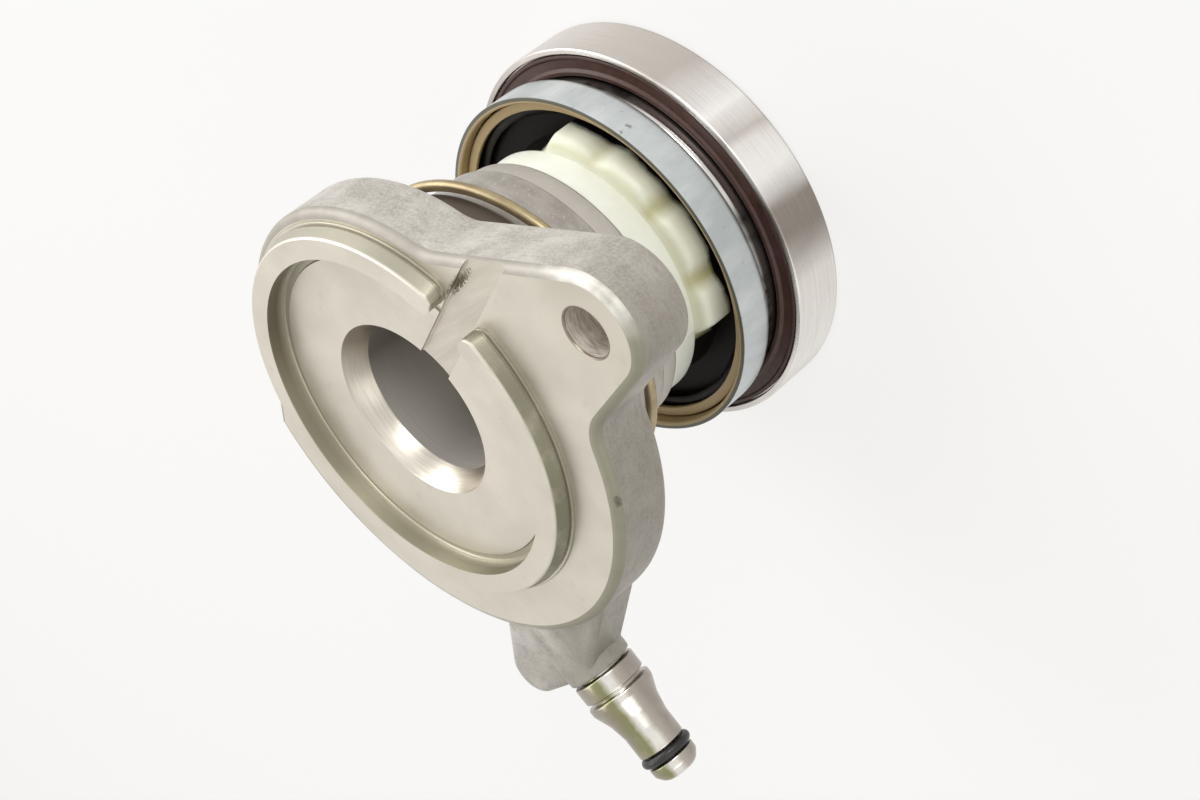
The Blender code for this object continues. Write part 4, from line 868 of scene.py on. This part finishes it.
def band_outline(outer_radius, inner_radius, half_gap, height):
    """Plan of the split ring at one height, with well rounded ends."""
    start = DRAIN_ANGLE + half_gap
    end = DRAIN_ANGLE - half_gap + FULL_TURN
    corner = 0.48 * (outer_radius - inner_radius)
    middle = 0.5 * (outer_radius + inner_radius)
    outer_turn, inner_turn, turn_back = corner / outer_radius, corner / inner_radius, corner / middle
    rounding = [0.5 * math.pi - math.pi * i / SPIGOT_END_STEPS for i in range(1, SPIGOT_END_STEPS)]
    outline = arc((0.0, 0.0), outer_radius, start + outer_turn, end - outer_turn, SPIGOT_STEPS)
    for angle in rounding:
        outline.append(polar(middle + corner * math.sin(angle) * 1.04,
                             end - turn_back + turn_back * math.cos(angle)))
    outline += arc((0.0, 0.0), inner_radius, end - inner_turn, start + inner_turn, SPIGOT_STEPS)
    for angle in rounding:
        outline.append(polar(middle - corner * math.sin(angle) * 1.04,
                             start + turn_back - turn_back * math.cos(angle)))
    return [Vector((x, y, height)) for x, y in outline]


def spigot_form():
    """Split locating ring: upright inside, sloping outside with a groove over its foot."""
    half_gap = math.asin(0.5 * SPIGOT_GAP / (0.5 * (SPIGOT_INNER + SPIGOT_CREST)))
    slope = (SPIGOT_FOOT - SPIGOT_CREST) / SPIGOT_HEIGHT
    levels = [
        (SPIGOT_FOOT, SPIGOT_INNER, -1.2 * MM), (SPIGOT_FOOT, SPIGOT_INNER, 0.35 * MM),
        (SPIGOT_FOOT - 0.12 * MM, SPIGOT_INNER, 0.48 * MM),
        (SPIGOT_FOOT - 0.75 * MM, SPIGOT_INNER, 0.55 * MM),
        (SPIGOT_FOOT - 0.80 * MM, SPIGOT_INNER, 0.85 * MM),
        (SPIGOT_FOOT - slope * 1.1 * MM, SPIGOT_INNER, 1.1 * MM),
        (SPIGOT_CREST + 0.30 * slope * MM, SPIGOT_INNER, SPIGOT_HEIGHT - 0.25 * MM),
        (SPIGOT_CREST - 0.05 * MM, SPIGOT_INNER + 0.02 * MM, SPIGOT_HEIGHT - 0.10 * MM),
        (SPIGOT_CREST - 0.18 * MM, SPIGOT_INNER + 0.08 * MM, SPIGOT_HEIGHT),
        (SPIGOT_CREST - 0.43 * MM, SPIGOT_INNER + 0.33 * MM, SPIGOT_HEIGHT),
    ]
    loops = [band_outline(outer, inner, half_gap, FACE + height) for outer, inner, height in levels]
    return skin(loops, closed=False)


def boss_outline():
    """Plan of the inlet boss: rounded lug, nipple end and a flare back into the flange."""
    nose = NIPPLE_BASE.xy
    out = NIPPLE_DIRECTION.xy
    across = Vector((out.y, -out.x))
    lug = nose + across * LUG_ACROSS - out * LUG_BACK
    outline = arc(lug, LUG_RADIUS, LUG_SIDE, NIPPLE_HEADING + FULL_TURN)
    for beside, back in ((0.5, 0.3 * MM), (-0.6, 0.3 * MM), (-0.95, 2.5 * MM)):
        point = nose + across * SOCKET_RADIUS * beside - out * back
        outline.append((point.x, point.y))
    outline.append(polar(FLANGE_RADIUS, BOSS_FLARE))
    outline.append(polar(FLANGE_RADIUS - 12.0 * MM, BOSS_FLARE))
    inner = Vector(outline[0]) + Vector((math.sin(LUG_SIDE), -math.cos(LUG_SIDE))) * LUG_FLANK
    outline.append((inner.x, inner.y))
    return outline


def bore_form():
    """Stepped bore: piston chamber, sleeve seat with its seal groove, ledge and lead-in cone."""
    over = 1.0 * MM
    seat = SLEEVE_RADIUS + 0.3 * MM
    groove = SLEEVE_RADIUS + 2.1 * MM
    groove_low = SLEEVE_SEAL_HEIGHT - 1.05 * MM
    groove_high = SLEEVE_SEAL_HEIGHT + 1.05 * MM
    cone = SLEEVE_BORE + CONE_WIDTH
    return turned([
        (CYLINDER_BORE + 0.8 * MM, MOUTH - over), (CYLINDER_BORE + 0.8 * MM, MOUTH),
        (CYLINDER_BORE, MOUTH + 0.8 * MM), (CYLINDER_BORE, CHAMBER_END), (seat, CHAMBER_END),
        (seat, groove_low), (groove, groove_low), (groove, groove_high), (seat, groove_high),
        (seat, SLEEVE_SEAT_END), (SLEEVE_BORE, SLEEVE_SEAT_END), (SLEEVE_BORE, LEDGE_TOP),
        (cone - 0.1 * MM, FACE - 0.25 * MM), (cone + 0.15 * MM, FACE), (cone + 1.15 * MM, FACE + over),
    ], closed=False)


def relief_form():
    """Shallow turned groove in the face, just inside the ring's foot."""
    start = SPIGOT_INNER - 1.7 * MM
    end = SPIGOT_INNER - 0.4 * MM
    return turned([
        (start - 0.15 * MM, FACE + 0.2 * MM), (start, FACE), (start + 0.25 * MM, FACE - 0.30 * MM),
        (end - 0.15 * MM, FACE - 0.30 * MM), (end, FACE), (end, FACE + 0.2 * MM),
    ])


def ear_hole_form():
    """Bolt hole with a small round at each face."""
    over = 1.0 * MM
    wide = EAR_HOLE + 0.35 * MM
    hole = turned([
        (wide + over, FLANGE_BACK - over), (wide, FLANGE_BACK), (EAR_HOLE, FLANGE_BACK + 0.35 * MM),
        (EAR_HOLE, FACE - 0.35 * MM), (EAR_HOLE + 0.10 * MM, FACE - 0.12 * MM), (wide, FACE),
        (wide + over, FACE + over),
    ], SMALL_ROUND, closed=False)
    hole.transform(Matrix.Translation((EAR_REACH, 0.0, 0.0)))
    return hole


def drain_form():
    """Milled channel with upright sides, from the bore out through the ring's gap."""
    half = 0.5 * DRAIN_WIDTH
    section = [(-half, -DRAIN_DEPTH + 0.2 * MM), (-half + 0.2 * MM, -DRAIN_DEPTH),
               (half - 0.2 * MM, -DRAIN_DEPTH), (half, -DRAIN_DEPTH + 0.2 * MM),
               (half, 4.0 * MM), (-half, 4.0 * MM)]
    channel = skin([[Vector((run, across, FACE + height)) for across, height in section]
                    for run in (SLEEVE_BORE * 0.8, FLANGE_RADIUS + 5.0 * MM)], closed=False)
    channel.transform(Matrix.Rotation(DRAIN_ANGLE, 4, 'Z'))
    return channel


def drilling_form():
    """Nipple seat and the passage behind it."""
    return on_nipple(turned([
        (1.75 * MM, -40.0 * MM), (1.75 * MM, -9.3 * MM), (4.5 * MM, -9.3 * MM), (4.5 * MM, -0.4 * MM),
        (4.9 * MM, 0.0), (5.9 * MM, 1.0 * MM),
    ], 48, closed=False))


def socket_form():
    """Round end of the boss, which holds the nipple."""
    return on_nipple(turned(softened([
        (2.0 * MM, -15.0 * MM, 0.0), (SOCKET_RADIUS, -15.0 * MM, 0.0), (SOCKET_RADIUS, 0.0, 0.6 * MM),
        (4.0 * MM, 0.0, 0.0),
    ], closed=False), SMALL_ROUND, closed=False))


def crease_level_faces(mesh):
    """Sharpen every edge of the level upward faces, so that a machined plane shades as a plane."""
    edges = {tuple(sorted(edge.vertices)): edge for edge in mesh.edges}
    for polygon in mesh.polygons:
        if polygon.normal.z > 0.9999:
            for key in polygon.edge_keys:
                edges[tuple(sorted(key))].use_edge_sharp = True


def build_casting(wear):
    """The whole casting, with each machined surface in its own finish."""
    plate = rounded_plate(flange_outline(), FLANGE_BACK, FACE, BACK_FILLET, FRONT_FILLET)
    casting = finish_mesh("casting", plate, wear["cast"], wear["faced"], wear["edge"])
    paint(casting, lambda middle, normal: 1 if normal.z > 0.999 else 2 if normal.z > 0.1 else 0)
    boss = rounded_plate(boss_outline(), FLANGE_BACK + BOSS_BACK_STEP, FACE - BOSS_FRONT_STEP, BOSS_FILLET,
                         BOSS_FILLET, strip=0.05 * MM)
    spigot = finish_mesh("spigot_form", spigot_form(), wear["faced"], wear["bevel"])
    paint(spigot, lambda middle, normal: normal.z < 0.9)
    stepped_bore = finish_mesh("bore_form", bore_form(), wear["bore"], wear["cone"])
    paint(stepped_bore, lambda middle, normal: middle.z > LEDGE_TOP)
    bolt_hole = finish_mesh("ear_hole_form", ear_hole_form(), wear["hole"], wear["cone"])
    half = 0.5 * (FACE - FLANGE_BACK)
    paint(bolt_hole, lambda middle, normal: abs(middle.z - 0.5 * (FACE + FLANGE_BACK)) > half - 0.35 * MM)
    tools = [
        (finish_mesh("cylinder_form", cylinder_form(), wear["barrel"]), 'UNION'),
        (finish_mesh("relief_form", relief_form(), wear["bevel"]), 'DIFFERENCE'),
        (spigot, 'UNION'),
        (finish_mesh("boss_form", boss, wear["cast"]), 'UNION'),
        (finish_mesh("socket_form", socket_form(), wear["cast"]), 'UNION'),
        (stepped_bore, 'DIFFERENCE'),
        (bolt_hole, 'DIFFERENCE'),
        (finish_mesh("drain_form", drain_form(), wear["channel"]), 'DIFFERENCE'),
        (finish_mesh("drilling_form", drilling_form(), wear["bore"]), 'DIFFERENCE'),
    ]
    for tool, operation in tools:
        change = casting.modifiers.new(tool.name, 'BOOLEAN')
        change.operation = operation
        change.solver = 'EXACT'
        change.material_mode = 'TRANSFER'
        change.object = tool
    settle(casting)
    for tool, _ in tools:
        bpy.data.objects.remove(tool, do_unlink=True)
    casting.data.shade_smooth()
    casting.data.set_sharp_from_angle(angle=CASTING_SHARP_ANGLE)
    crease_level_faces(casting.data)
    as_piece(casting, "cylinder", "cast_aluminium", "housing")


# Pieces fixed to the casting

def build_sleeve(finish):
    """Guide sleeve with a lead-in at its foot."""
    top = SLEEVE_SEAT_END - 0.02 * MM
    profile = softened([
        (SLEEVE_BORE, SLEEVE_FOOT, 0.3 * MM), (SLEEVE_RADIUS - 0.8 * MM, SLEEVE_FOOT, 0.2 * MM),
        (SLEEVE_RADIUS, SLEEVE_FOOT + 0.8 * MM, 0.3 * MM), (SLEEVE_RADIUS, top, 0.2 * MM),
        (SLEEVE_BORE, top, 0.0),
    ])
    as_piece(finish_mesh("sleeve", turned(profile), finish), "cylinder", "turned_steel", "guide_sleeve")


def round_ring(centre, height, section, segments):
    """Ring of round section about Z."""
    return turned(arc((centre, height), section, 0.0, FULL_TURN, 24)[:-1], segments)


def build_static_seal(finish):
    """Ring between the sleeve and the casting."""
    ring = round_ring(SLEEVE_RADIUS + 1.05 * MM, SLEEVE_SEAL_HEIGHT, 0.75 * MM, 120)
    as_piece(finish_mesh("static_seal", ring, finish), "cylinder", "black_rubber", "sleeve_o_ring")


def build_nose_seal(finish):
    """Ring near the nipple's nose."""
    ring = on_nipple(round_ring(O_RING_CENTRE, 0.0, O_RING_SECTION, SMALL_ROUND), O_RING_ALONG)
    as_piece(finish_mesh("nose_seal", ring, finish), "cylinder", "black_rubber", "nipple_o_ring")


def build_wire_ring(finish):
    """Split wire ring with rounded ends, hanging aslant round the shoulder."""
    centre = SHOULDER_RADIUS + 0.3 * MM + WIRE_RADIUS
    slope = centre * math.tan(WIRE_TILT)
    loops = []
    for i in range(WIRE_STEPS + 1):
        angle = WIRE_GAP_ANGLE + 0.5 * WIRE_GAP + (FULL_TURN - WIRE_GAP) * i / WIRE_STEPS
        height = WIRE_HEIGHT + slope * math.cos(angle - WIRE_HIGH_SIDE)
        section = WIRE_RADIUS * (0.6 if i in (0, WIRE_STEPS) else 1.0)
        ring = arc((centre, height), section, 0.0, FULL_TURN, 20)[:-1]
        loops.append([Vector((r * math.cos(angle), r * math.sin(angle), z)) for r, z in ring])
    made = finish_mesh("spring_wire", skin(loops, closed=False), finish)
    as_piece(made, "cylinder", "yellow_passivated_steel", "wire_ring")


def build_nipple(finish):
    """Turned nipple: collar, groove, barb, waisted stem, O-ring groove and domed nose."""
    # Radius, distance along the nipple and fillet, in millimetres
    corners = [
        (1.5, -9.0, 0.0), (4.2, -9.0, 0.3), (4.2, 0.5, 0.1), (6.0, 0.5, 0.35), (6.0, 3.9, 0.35),
        (5.0, 3.95, 0.15),
        (5.0, 4.65, 0.15), (6.3, 4.7, 0.4), (6.3, 6.1, 1.2), (5.1, 9.2, 3.0), (4.5, 12.5, 3.0),
        (4.5, 16.96, 0.25),
        (2.9, 16.96, 0.15), (2.9, 19.36, 0.15), (4.5, 19.36, 0.25), (4.45, 20.9, 1.0), (3.6, 22.1, 0.8),
        (2.9, 22.56, 0.3), (1.5, 22.56, 0.2),
    ]
    profile = softened([(radius * MM, height * MM, fillet * MM) for radius, height, fillet in corners])
    made = finish_mesh("nipple", on_nipple(turned(profile, SMALL_ROUND)), finish)
    as_piece(made, "cylinder", "turned_steel", "inlet_nipple")


# Piston and its seal

def lobe_shape(angle):
    """Height of a pad across its width, 1 on its flat crown and 0 in the rounded valley."""
    wave = math.cos(0.5 * LOBE_COUNT * (angle - LOBE_PHASE)) ** 2
    return 1.0 - (1.0 - wave) ** 3.0


def pad_share(angle):
    """1 in the two opposite sectors of the head that carry pads, 0 between them."""
    last = math.cos(2.0 * PAD_SECTOR_HALF)
    return min(1.0, max(0.0, (math.cos(2.0 * (angle - PAD_SECTOR_MIDDLE)) - last) / 0.35))


def bulge(share):
    """Quarter-round rise from 0 to 1."""
    return math.sqrt(1.0 - (1.0 - min(1.0, share)) ** 2)


def build_piston(finish):
    """Moulded piston: skirt, smooth stop rim, rounded pads in two sectors and bearing flange."""
    head_top = MOUTH - 0.3 * MM
    flange_top = HEAD_BOTTOM + HEAD_FLANGE_THICKNESS
    rim_foot = head_top - HEAD_RIM_LENGTH
    upper = [
        (PISTON_RADIUS - 0.3 * MM, PISTON_TOP), (PISTON_RADIUS, PISTON_TOP - 0.3 * MM),
        (PISTON_RADIUS, head_top),
        (HEAD_RIM - 0.35 * MM, head_top), (HEAD_RIM - 0.08 * MM, head_top - 0.12 * MM),
        (HEAD_RIM, head_top - 0.4 * MM),
    ]
    lower = [
        (HEAD_FLANGE - 0.2 * MM, flange_top), (HEAD_FLANGE, flange_top - 0.2 * MM),
        (HEAD_FLANGE, HEAD_BOTTOM + 0.2 * MM), (HEAD_FLANGE - 0.2 * MM, HEAD_BOTTOM),
        (PISTON_BORE + 0.3 * MM, HEAD_BOTTOM), (PISTON_BORE, HEAD_BOTTOM + 0.3 * MM),
        (PISTON_BORE, PISTON_TOP),
    ]
    samples = LOBE_COUNT * SAMPLES_PER_LOBE
    loops = [circle(radius, height, samples) for radius, height in upper]
    for i in range(HEAD_STEPS + 1):
        share = i / HEAD_STEPS
        height = rim_foot + (flange_top - rim_foot) * share
        undercut = 0.35 * MM * max(0.0, 1.0 - abs(share - 0.06) / 0.06)
        core = HEAD_RIM + 0.05 * MM + 0.95 * MM * share - undercut
        crown = (LOBE_RADIUS - core) * bulge(share / 0.34)
        valley = (LOBE_RADIUS - VALLEY_DEPTH - core) * bulge(share / 0.8)
        bare = core - (HOLLOW_DEPTH if i > 0 else 0.0)
        loop = []
        for sample in range(samples):
            angle = FULL_TURN * sample / samples
            padded = core + valley + (crown - valley) * lobe_shape(angle)
            reach = bare + (padded - bare) * pad_share(angle)
            loop.append(Vector((reach * math.cos(angle), reach * math.sin(angle), height)))
        loops.append(loop)
    loops += [circle(radius, height, samples) for radius, height in lower]
    made = finish_mesh("lobed_piston", skin(loops, closed=True), finish)
    as_piece(made, "ring_piston", "cream_plastic", "piston")


def build_piston_seal(finish):
    """Vee-lipped ring seal."""
    profile = softened([
        (PISTON_BORE, SEAL_BOTTOM, 0.2 * MM), (PISTON_RADIUS, SEAL_BOTTOM, 0.2 * MM),
        (PISTON_RADIUS, SEAL_TOP, 0.3 * MM), (PISTON_RADIUS - 1.2 * MM, SEAL_TOP, 0.3 * MM),
        (0.5 * (PISTON_BORE + PISTON_RADIUS), SEAL_TOP - 2.6 * MM, 0.4 * MM),
        (PISTON_BORE + 1.2 * MM, SEAL_TOP, 0.3 * MM), (PISTON_BORE, SEAL_TOP, 0.3 * MM),
    ])
    made = finish_mesh("vee_seal", turned(profile, 120), finish)
    as_piece(made, "ring_piston", "black_rubber", "piston_seal")


# Carrier and bearing

def grown(name, kinds, values, grow, finish):
    """Plain mesh from a geometry tree with an input for each kind; grow(tree, inputs) gives its form."""
    tree = bpy.data.node_groups.new(name, "GeometryNodeTree")
    sockets = [tree.interface.new_socket(label, in_out='INPUT', socket_type=kind).identifier
               for label, kind in kinds.items()]
    tree.interface.new_socket("Geometry", in_out='OUTPUT', socket_type="NodeSocketGeometry")
    add(tree, "result", add(tree, "dressed", grow(tree, add(tree, "given").outputs), finish))
    made = shown(name, bpy.data.meshes.new(name))
    change = made.modifiers.new(name, 'NODES')
    change.node_group = tree
    for socket, value in zip(sockets, values):
        change[socket] = value
    return settle(made)


def waved_strip(tree, given):
    """Strip bent to an even number of waves round a circle."""
    spot = add(tree, "parts", add(tree, "position")).outputs
    turns = add(tree, "times", add(tree, "angle", spot["Y"], spot["X"]), given["Waves"])
    swing = add(tree, "times", add(tree, "cosine", turns), given["Swing"])
    lift = add(tree, "plus", swing, given["Height"])
    ring = add(tree, "ring", ROUND, given["Radius"])
    waved = add(tree, "moved", ring, add(tree, "vector", 0.0, 0.0, lift))
    section = add(tree, "oblong", given["Width"], given["Thickness"])
    return add(tree, "plain", add(tree, "swept", add(tree, "upright", waved), section))


def ball_circle(tree, given):
    """Balls spread evenly on the pitch circle."""
    copies = add(tree, "copies", add(tree, "spots", given["Balls"], given["Pitch Radius"]),
                 add(tree, "ball", 32, 16, given["Ball Radius"]))
    raised = add(tree, "raised", copies, add(tree, "vector", 0.0, 0.0, given["Height"]))
    return add(tree, "smooth", add(tree, "plain", raised))


def build_wave_spring(finish):
    """Wave washer between the piston's flange and the snap ring."""
    kinds = dict.fromkeys(("Radius", "Swing", "Height", "Width", "Thickness", "Waves"), "NodeSocketFloat")
    values = (0.5 * (WAVE_BORE + WAVE_RADIUS), 0.5 * (WAVE_TOP - WAVE_BOTTOM - WAVE_STRIP),
              0.5 * (WAVE_BOTTOM + WAVE_TOP), WAVE_RADIUS - WAVE_BORE, WAVE_STRIP, float(WAVE_COUNT))
    made = grown("wave_washer", kinds, values, waved_strip, finish)
    as_piece(made, "centring_spring", "dark_spring_steel", "wave_spring")


def build_balls(finish):
    """All the balls, riding with their cage."""
    kinds = dict.fromkeys(("Pitch Radius", "Ball Radius", "Height"), "NodeSocketFloat")
    kinds["Balls"] = "NodeSocketInt"
    made = grown("ball_set", kinds, (BALL_PITCH, BALL_RADIUS, BALL_HEIGHT, BALL_COUNT), ball_circle, finish)
    nodes = [f"ball_{number:02d}" for number in range(1, BALL_COUNT + 1)]
    as_piece(made, "cage_and_balls", "bearing_steel", *nodes)


def build_cup(outside, inside):
    """Pressed cup with rolled corners; its inside has its own finish."""
    floor = INNER_RING_TOP + 0.3 * MM
    hub_bore = HUB_RADIUS - CUP_SHEET
    bore = CUP_RADIUS - CUP_SHEET
    profile = softened([
        (hub_bore, CUP_HUB_FOOT, 0.25 * MM), (HUB_RADIUS, CUP_HUB_FOOT, 0.35 * MM),
        (HUB_RADIUS, floor, 0.15 * MM),
        (CUP_RADIUS, floor, CUP_CORNER), (CUP_RADIUS, CUP_RIM, 0.15 * MM), (bore, CUP_RIM, 0.7 * MM),
        (bore, floor + CUP_SHEET, 0.8 * MM), (hub_bore, floor + CUP_SHEET, 0.8 * MM),
    ], steps=6)
    made = finish_mesh("pressed_cup", turned(profile), outside, inside)
    wall, sheet_top = CUP_RADIUS - 0.6 * MM, floor + 0.5 * MM
    paint(made, lambda middle, normal: middle.xy.length < wall and middle.z > sheet_top)
    as_piece(made, "bearing_carrier", "zinc_plated_steel", "bearing_cup")


def build_snap_ring(finish):
    """Retaining ring inside the cup's rim."""
    profile = softened([(SNAP_BORE, SNAP_BOTTOM, 0.2 * MM), (SNAP_RADIUS, SNAP_BOTTOM, 0.2 * MM),
                        (SNAP_RADIUS, SNAP_TOP, 0.3 * MM), (SNAP_BORE, SNAP_TOP, 0.3 * MM)])
    made = finish_mesh("retaining_ring", turned(profile), finish)
    as_piece(made, "bearing_carrier", "dark_spring_steel", "snap_ring")


def race(side, land):
    """Ball groove from its low edge to its high edge."""
    half = math.acos(side * (land - BALL_PITCH) / RACE_RADIUS)
    middle = 0.0 if side > 0 else math.pi
    groove = arc((BALL_PITCH, BALL_HEIGHT), RACE_RADIUS, middle - side * half, middle + side * half, 14)
    return [(r, z, 0.0) for r, z in groove]


def build_inner_ring(finish, shoulder):
    """Still ring of the bearing with its polished shoulder."""
    corners = [(INNER_BORE, INNER_RING_FOOT, 0.3 * MM), (INNER_LAND, INNER_RING_FOOT, 0.3 * MM)]
    corners += race(-1, INNER_LAND)
    corners += [(INNER_LAND, REAR_SEAL_BASE, 0.1 * MM), (INNER_SHOULDER, REAR_SEAL_BASE, 0.15 * MM),
                (INNER_SHOULDER, INNER_RING_TOP, 1.4 * MM), (INNER_BORE, INNER_RING_TOP, 0.3 * MM)]
    made = finish_mesh("still_race", turned(softened(corners)), finish, shoulder)
    paint(made, lambda middle, normal: middle.xy.length > INNER_SHOULDER - 1.5 * MM)
    as_piece(made, "bearing_carrier", "bearing_steel", "inner_ring")


def build_outer_ring(finish):
    """Turning ring: rounded contact face, inner lip, ball groove and seal recess."""
    lip_top = CONTACT_WALL + 3.2 * MM
    lip_bore = CONTACT_LIP - CONTACT_LIP_WALL
    shelf = REAR_SEAL_BASE - 0.3 * MM
    corners = [
        (lip_bore, CONTACT_FACE, 0.5 * MM), (BEARING_RADIUS, CONTACT_FACE, 1.1 * MM),
        (BEARING_RADIUS, BEARING_REAR, 0.5 * MM), (SEAL_RECESS, BEARING_REAR, 0.15 * MM),
        (SEAL_RECESS, shelf, 0.1 * MM), (OUTER_LAND, shelf, 0.1 * MM),
    ]
    corners += race(1, OUTER_LAND)[::-1]
    corners += [(OUTER_LAND, CONTACT_WALL, 0.4 * MM), (CONTACT_LIP, CONTACT_WALL, 0.4 * MM),
                (CONTACT_LIP, lip_top, 0.2 * MM), (lip_bore, lip_top, 0.2 * MM)]
    made = finish_mesh("turning_race", turned(softened(corners, steps=6)), finish)
    as_piece(made, "turning_ring", "bearing_steel", "outer_ring")


def build_rear_seal(finish):
    """Brown seal with a raised inner bead and a shallow groove."""
    bore = INNER_SHOULDER + 0.3 * MM
    edge = SEAL_RECESS - 0.3 * MM
    face = REAR_SEAL_BASE + 0.7 * MM
    profile = softened([
        (bore, REAR_SEAL_BASE, 0.05 * MM), (edge, REAR_SEAL_BASE, 0.05 * MM), (edge, face, 0.25 * MM),
        (edge - 0.6 * MM, face, 0.2 * MM), (edge - 0.9 * MM, face - 0.3 * MM, 0.2 * MM),
        (bore + 1.2 * MM, face - 0.3 * MM, 0.3 * MM), (bore + 0.8 * MM, REAR_SEAL_TOP, 0.3 * MM),
        (bore, REAR_SEAL_TOP, 0.3 * MM),
    ])
    as_piece(finish_mesh("seal_disc", turned(profile), finish), "turning_ring", "brown_rubber", "rear_seal")


# Studio

def build_camera():
    """Camera at the photograph's place, fitted to the round edges of the part."""
    data = bpy.data.cameras.new("camera")
    camera = shown("camera", data)
    right = Vector((0.5022, -0.5600, -0.6589)).normalized()
    back = Vector((0.8425, 0.1453, 0.5187)).normalized()
    up = back.cross(right).normalized()
    turn = Matrix((right, up, back)).transposed().to_4x4()
    camera.matrix_world = Matrix.Translation(Vector((318.58, 36.40, 231.62)) * MM) @ turn
    data.sensor_width = 36.0
    data.lens = 66.0
    data.clip_start = 0.01
    data.clip_end = 20.0
    bpy.context.scene.camera = camera


def seen_directly(tree):
    """1 for rays from the camera, mirrors and glass, 0 for the light that falls on the part."""
    rays = add(tree, "rays").outputs
    glossy = add(tree, "most", rays["Is Camera Ray"], rays["Is Glossy Ray"])
    return add(tree, "most", glossy, rays["Is Transmission Ray"])


def build_floor():
    """Pale floor that shows near white and keeps the part's soft shadow."""
    builder = bmesh.new()
    bmesh.ops.create_circle(builder, cap_ends=True, segments=96, radius=FLOOR_RADIUS)
    mesh = bpy.data.meshes.new("floor")
    builder.to_mesh(mesh)
    builder.free()
    floor = shown("floor", mesh)
    material = make_material("pale_floor", "#EDECEA", 0.0, 0.9)
    tree = material.node_tree
    shader = tree.nodes["Principled BSDF"]
    shader.inputs["Specular IOR Level"].default_value = 0.0
    share = add(tree, "times", seen_directly(tree), FLOOR_GLOW)
    mixed = add(tree, "mixed", share, shader.outputs[0], add(tree, "glow", "#FAF9F7", 1.0))
    fill(tree, tree.nodes["Material Output"], {"Surface": mixed})
    mesh.materials.append(material)


def build_world():
    """Even soft surround; what shows directly is near white."""
    world = bpy.data.worlds.new("studio")
    bpy.context.scene.world = world
    world.use_nodes = True
    tree = world.node_tree
    light = tree.nodes["Background"]
    fill(tree, light, {"Color": "#F4F5F7", "Strength": SURROUND_STRENGTH})
    direct = add(tree, "background", "#FAF9F7", 1.0)
    mixed = add(tree, "mixed", seen_directly(tree), light.outputs[0], direct)
    fill(tree, tree.nodes["World Output"], {"Surface": mixed})


def build_lamps():
    """Large soft lamps: over the flange, from the ear's side, over the waist and low by the nipple."""
    middle = Vector((0.0, -0.01, 0.04))
    for name, place, size, power in (
            ("flange_lamp", (-0.25, 0.15, 0.75), 0.5, 1.9), ("ear_lamp", (0.66, 0.40, 0.27), 0.35, 2.6),
            ("waist_lamp", (-0.30, 0.72, 0.40), 0.6, 4.5), ("nipple_lamp", (0.55, -0.60, 0.30), 0.5, 0.8)):
        data = bpy.data.lights.new(name, 'AREA')
        data.shape = 'SQUARE'
        data.size = size
        data.energy = power
        lamp = shown(name, data)
        lamp.location = place
        lamp.rotation_euler = (middle - Vector(place)).to_track_quat('-Z', 'Y').to_euler()


def build_all():
    """Dress every piece and set up the studio."""
    bpy.context.scene.view_settings.view_transform = 'Standard'
    wear = {word: make_material(*finish) for word, finish in FINISHES.items()}
    build_casting(wear)
    build_sleeve(wear["bore"])
    build_static_seal(wear["black"])
    build_wire_ring(wear["wire"])
    build_nipple(wear["nipple"])
    build_nose_seal(wear["black"])
    build_piston(wear["cream"])
    build_piston_seal(wear["black"])
    build_wave_spring(wear["spring"])
    build_cup(wear["zinc"], wear["chromate"])
    build_snap_ring(wear["chromate"])
    build_inner_ring(wear["ground"], wear["lapped"])
    build_outer_ring(wear["ground"])
    build_rear_seal(wear["brown"])
    build_balls(wear["ball"])
    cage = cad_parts["ball_cage"]
    cage.data.materials.clear()
    cage.data.materials.append(wear["cage"])
    build_camera()
    build_floor()
    build_world()
    build_lamps()


build_all()
